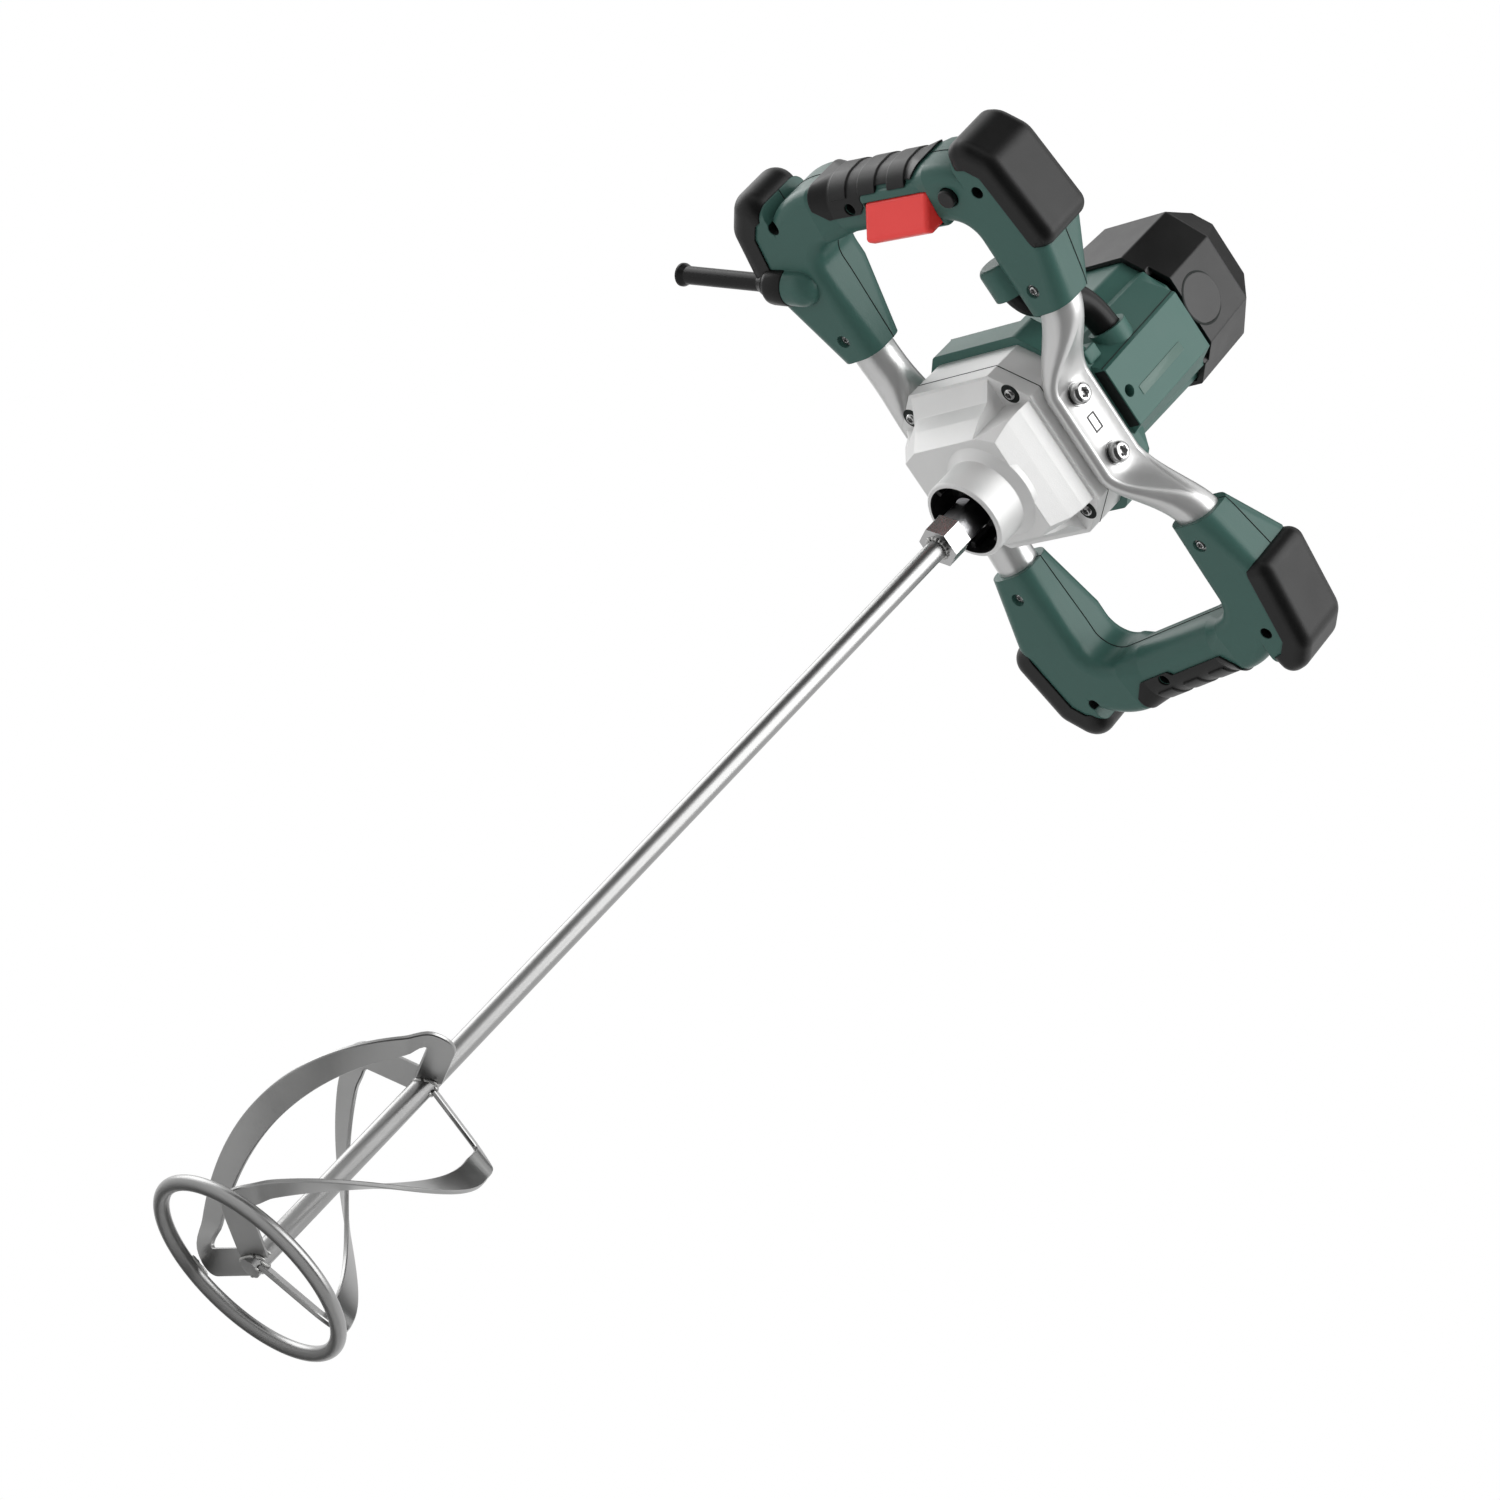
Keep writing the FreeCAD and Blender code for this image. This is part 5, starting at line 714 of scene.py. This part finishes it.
# Welds: rippled beads of bare steel, laid round the rod under the hexagon, along both faces of
# each arm where it meets the rod, and where the ribbons stand on the ring.
weld_steel = grained("weld_steel", colour=(0.42, 0.42, 0.41), cloudy=(0.52, 0.52, 0.51),
                     worn=(0.7, 0.7, 0.69), rough=0.34, grain=1300.0, bump=0.4, edge_r=0.0004,
                     metallic=1.0)


def bead(mesh, points, radius):
    """Rippled bead along a line of points, thinner at its ends."""
    sides, ripple, ripple_step, end_share = 10, 0.14, 3.0, 0.35
    rings = []
    last = len(points) - 1
    for k, at in enumerate(points):
        along = (points[min(k + 1, last)] - points[max(k - 1, 0)]).normalized()
        side = along.orthogonal().normalized()
        other = along.cross(side)
        swell = radius * (1.0 - ripple + ripple * math.cos(math.tau * k / ripple_step))
        if k in (0, last):
            swell *= end_share
        ring = []
        for n in range(sides):
            angle = math.tau * n / sides
            ring.append(mesh.verts.new(at + (side * math.cos(angle) + other * math.sin(angle)) * swell))
        rings.append(ring)
    join_rings(mesh, rings, closed=True)


hexagon_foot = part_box("stirrer_hexagon")[0].z
wire_r = (ring_high.z - ring_low.z) / 2
collar_steps, collar_r = 60, rod_r + 0.0004
arm_steps, arm_half_angle, arm_face = 12, math.radians(66.0), 0.0022
foot_steps, foot_half_angle = 9, math.radians(7.0)
foot_reach, foot_height = ring_high.x - wire_r * 1.62, ring_high.z - wire_r * 0.18
mesh = bmesh.new()
path = [polar(collar_r, math.tau * k / collar_steps, hexagon_foot) for k in range(collar_steps + 1)]
bead(mesh, path, radius=0.0016)
for start in ribbon_starts:
    for heading, height in ((start, ribbon_foot), (start + ribbon_turn, ribbon_foot + ribbon_rise)):
        for face in (-arm_face, arm_face):
            path = []
            for k in range(arm_steps + 1):
                angle = arm_half_angle * (2 * k / arm_steps - 1.0)
                slant = rod_r * math.sin(angle) * math.tan(arm_pitch)
                path.append(polar(rod_r, heading + angle, height + slant + face))
            bead(mesh, path, radius=0.0011)
    path = []
    for k in range(foot_steps + 1):
        angle = start + foot_half_angle * (2 * k / foot_steps - 1.0)
        path.append(polar(foot_reach, angle, foot_height))
    bead(mesh, path, radius=0.0014)
finished("stirrer_welds", mesh, weld_steel, "spindle")

# Stage: a pale floor seen only from above that fades into a white surround, two soft lamps, and
# black flags that give the metal and the dark rubber their dark reflections.
floor_z = cad_box[0].z - 0.0005
floor_half, fade_start, fade_end, floor_glow = 6.0, 0.35, 1.5, 0.12
white = (1.0, 1.0, 1.0, 1.0)


def flat_sheet(name, half_x, half_y, height=0.0):
    data = bpy.data.meshes.new(name)
    corners = [(sx * half_x, sy * half_y, height) for sx, sy in ((-1, -1), (1, -1), (1, 1), (-1, 1))]
    data.from_pydata(corners, [], [(0, 1, 2, 3)])
    return data


floor = in_scene("floor", flat_sheet("floor", floor_half, floor_half, floor_z))
pale, tree, shader = blank("pale_floor")
shader.inputs["Base Color"].default_value = (0.86, 0.86, 0.86, 1.0)
shader.inputs["Roughness"].default_value = 0.8
shader.inputs["Specular IOR Level"].default_value = 0.0
shader.inputs["Emission Color"].default_value = white
rays = place(tree, "LightPath").outputs
seen = maths(tree, "MAXIMUM", rays["Is Camera Ray"], rays["Is Glossy Ray"])
tree.links.new(ranged(tree, seen, 0.0, floor_glow), shader.inputs["Emission Strength"])
below = place(tree, "NewGeometry").outputs["Backfacing"]
away = from_axis(tree, place(tree, "TexCoord").outputs["Object"])
far = ranged(tree, away, 0.0, 1.0, start=fade_start, stop=fade_end, interpolation_type="SMOOTHSTEP")
hidden = maths(tree, "MAXIMUM", below, maths(tree, "MULTIPLY", far, rays["Is Camera Ray"]))
clear = place(tree, "BsdfTransparent").outputs[0]
faded = place(tree, "MixShader", {0: hidden, 1: shader.outputs[0], 2: clear}).outputs[0]
tree.links.new(faded, tree.nodes["Material Output"].inputs["Surface"])
floor.data.materials.append(pale)

world = bpy.data.worlds.new("surround")
bpy.context.scene.world = world
world.use_nodes = True
tree = world.node_tree
sky = tree.nodes["Background"]
sky.inputs["Color"].default_value = white
rays = place(tree, "LightPath").outputs
bright = maths(tree, "MAXIMUM", rays["Is Glossy Ray"], rays["Is Transmission Ray"])
seen = maths(tree, "MAXIMUM", rays["Is Camera Ray"], bright)
sky_light = 0.36
tree.links.new(ranged(tree, seen, sky_light, 1.0), sky.inputs["Strength"])

target = Vector((0.0, 0.0, 0.08))


def softbox(name, direction, distance, width, height, power):
    lamp = bpy.data.lights.new(name, "AREA")
    lamp.shape = "RECTANGLE"
    lamp.size = width
    lamp.size_y = height
    lamp.energy = power
    carrier = in_scene(name, lamp)
    carrier.location = target + Vector(direction).normalized() * distance
    carrier.rotation_euler = (target - carrier.location).to_track_quat("-Z", "Y").to_euler()


softbox("key", (-0.15, 0.8, 0.6), distance=2.0, width=2.4, height=1.4, power=34.0)
softbox("back", (0.7, -0.7, 0.25), distance=2.0, width=1.5, height=1.5, power=18.0)

flag_black, tree, shader = blank("flag_black")
shader.inputs["Base Color"].default_value = (0.04, 0.04, 0.04, 1.0)
shader.inputs["Roughness"].default_value = 0.9


def flag(name, at, aim, half_width, half_height):
    """Black card that only reflections see."""
    card = in_scene(name, flat_sheet(name, half_width, half_height))
    card.data.materials.append(flag_black)
    card.location = at
    card.rotation_euler = Vector(aim).to_track_quat("Z", "Y").to_euler()
    card.visible_camera = False
    card.visible_diffuse = False
    card.visible_shadow = False


flag("floor_flag", (0.0, 1.3, floor_z + 0.004), (0.0, 0.0, 1.0), half_width=2.6, half_height=1.18)
flag("front_flag", (0.0, 2.4, floor_z + 0.45), (0.0, -1.0, 0.0), half_width=2.6, half_height=0.45)
flag("side_flag", (1.6, 0.6, 1.45), (-1.6, -0.6, -1.35), half_width=1.0, half_height=1.0)
flag("top_flag", (-0.2, -0.5, 0.95), (0.2, 0.5, -0.85), half_width=0.4, half_height=0.4)

# Camera: at the photograph's viewing angle, below and in front of the tool, with a long lens. The
# picture's right, down and ahead are given as directions of the tool.
camera = bpy.data.cameras.new("camera")
camera.sensor_width = 36.0
camera.lens = 111.55
viewer = in_scene("camera", camera)
view_right = Vector((-0.54887028, 0.58852411, 0.5936167))
view_down = Vector((-0.77691497, -0.09711404, -0.62207073))
view_ahead = Vector((-0.30845511, -0.80262584, 0.5105362))
view_turn = Matrix((view_right, -view_down, -view_ahead)).transposed().to_4x4()
viewer.matrix_world = Matrix.Translation((0.758655, 1.979571, -1.460995)) @ view_turn
bpy.context.scene.camera = viewer
bpy.context.scene.view_settings.view_transform = "Standard"
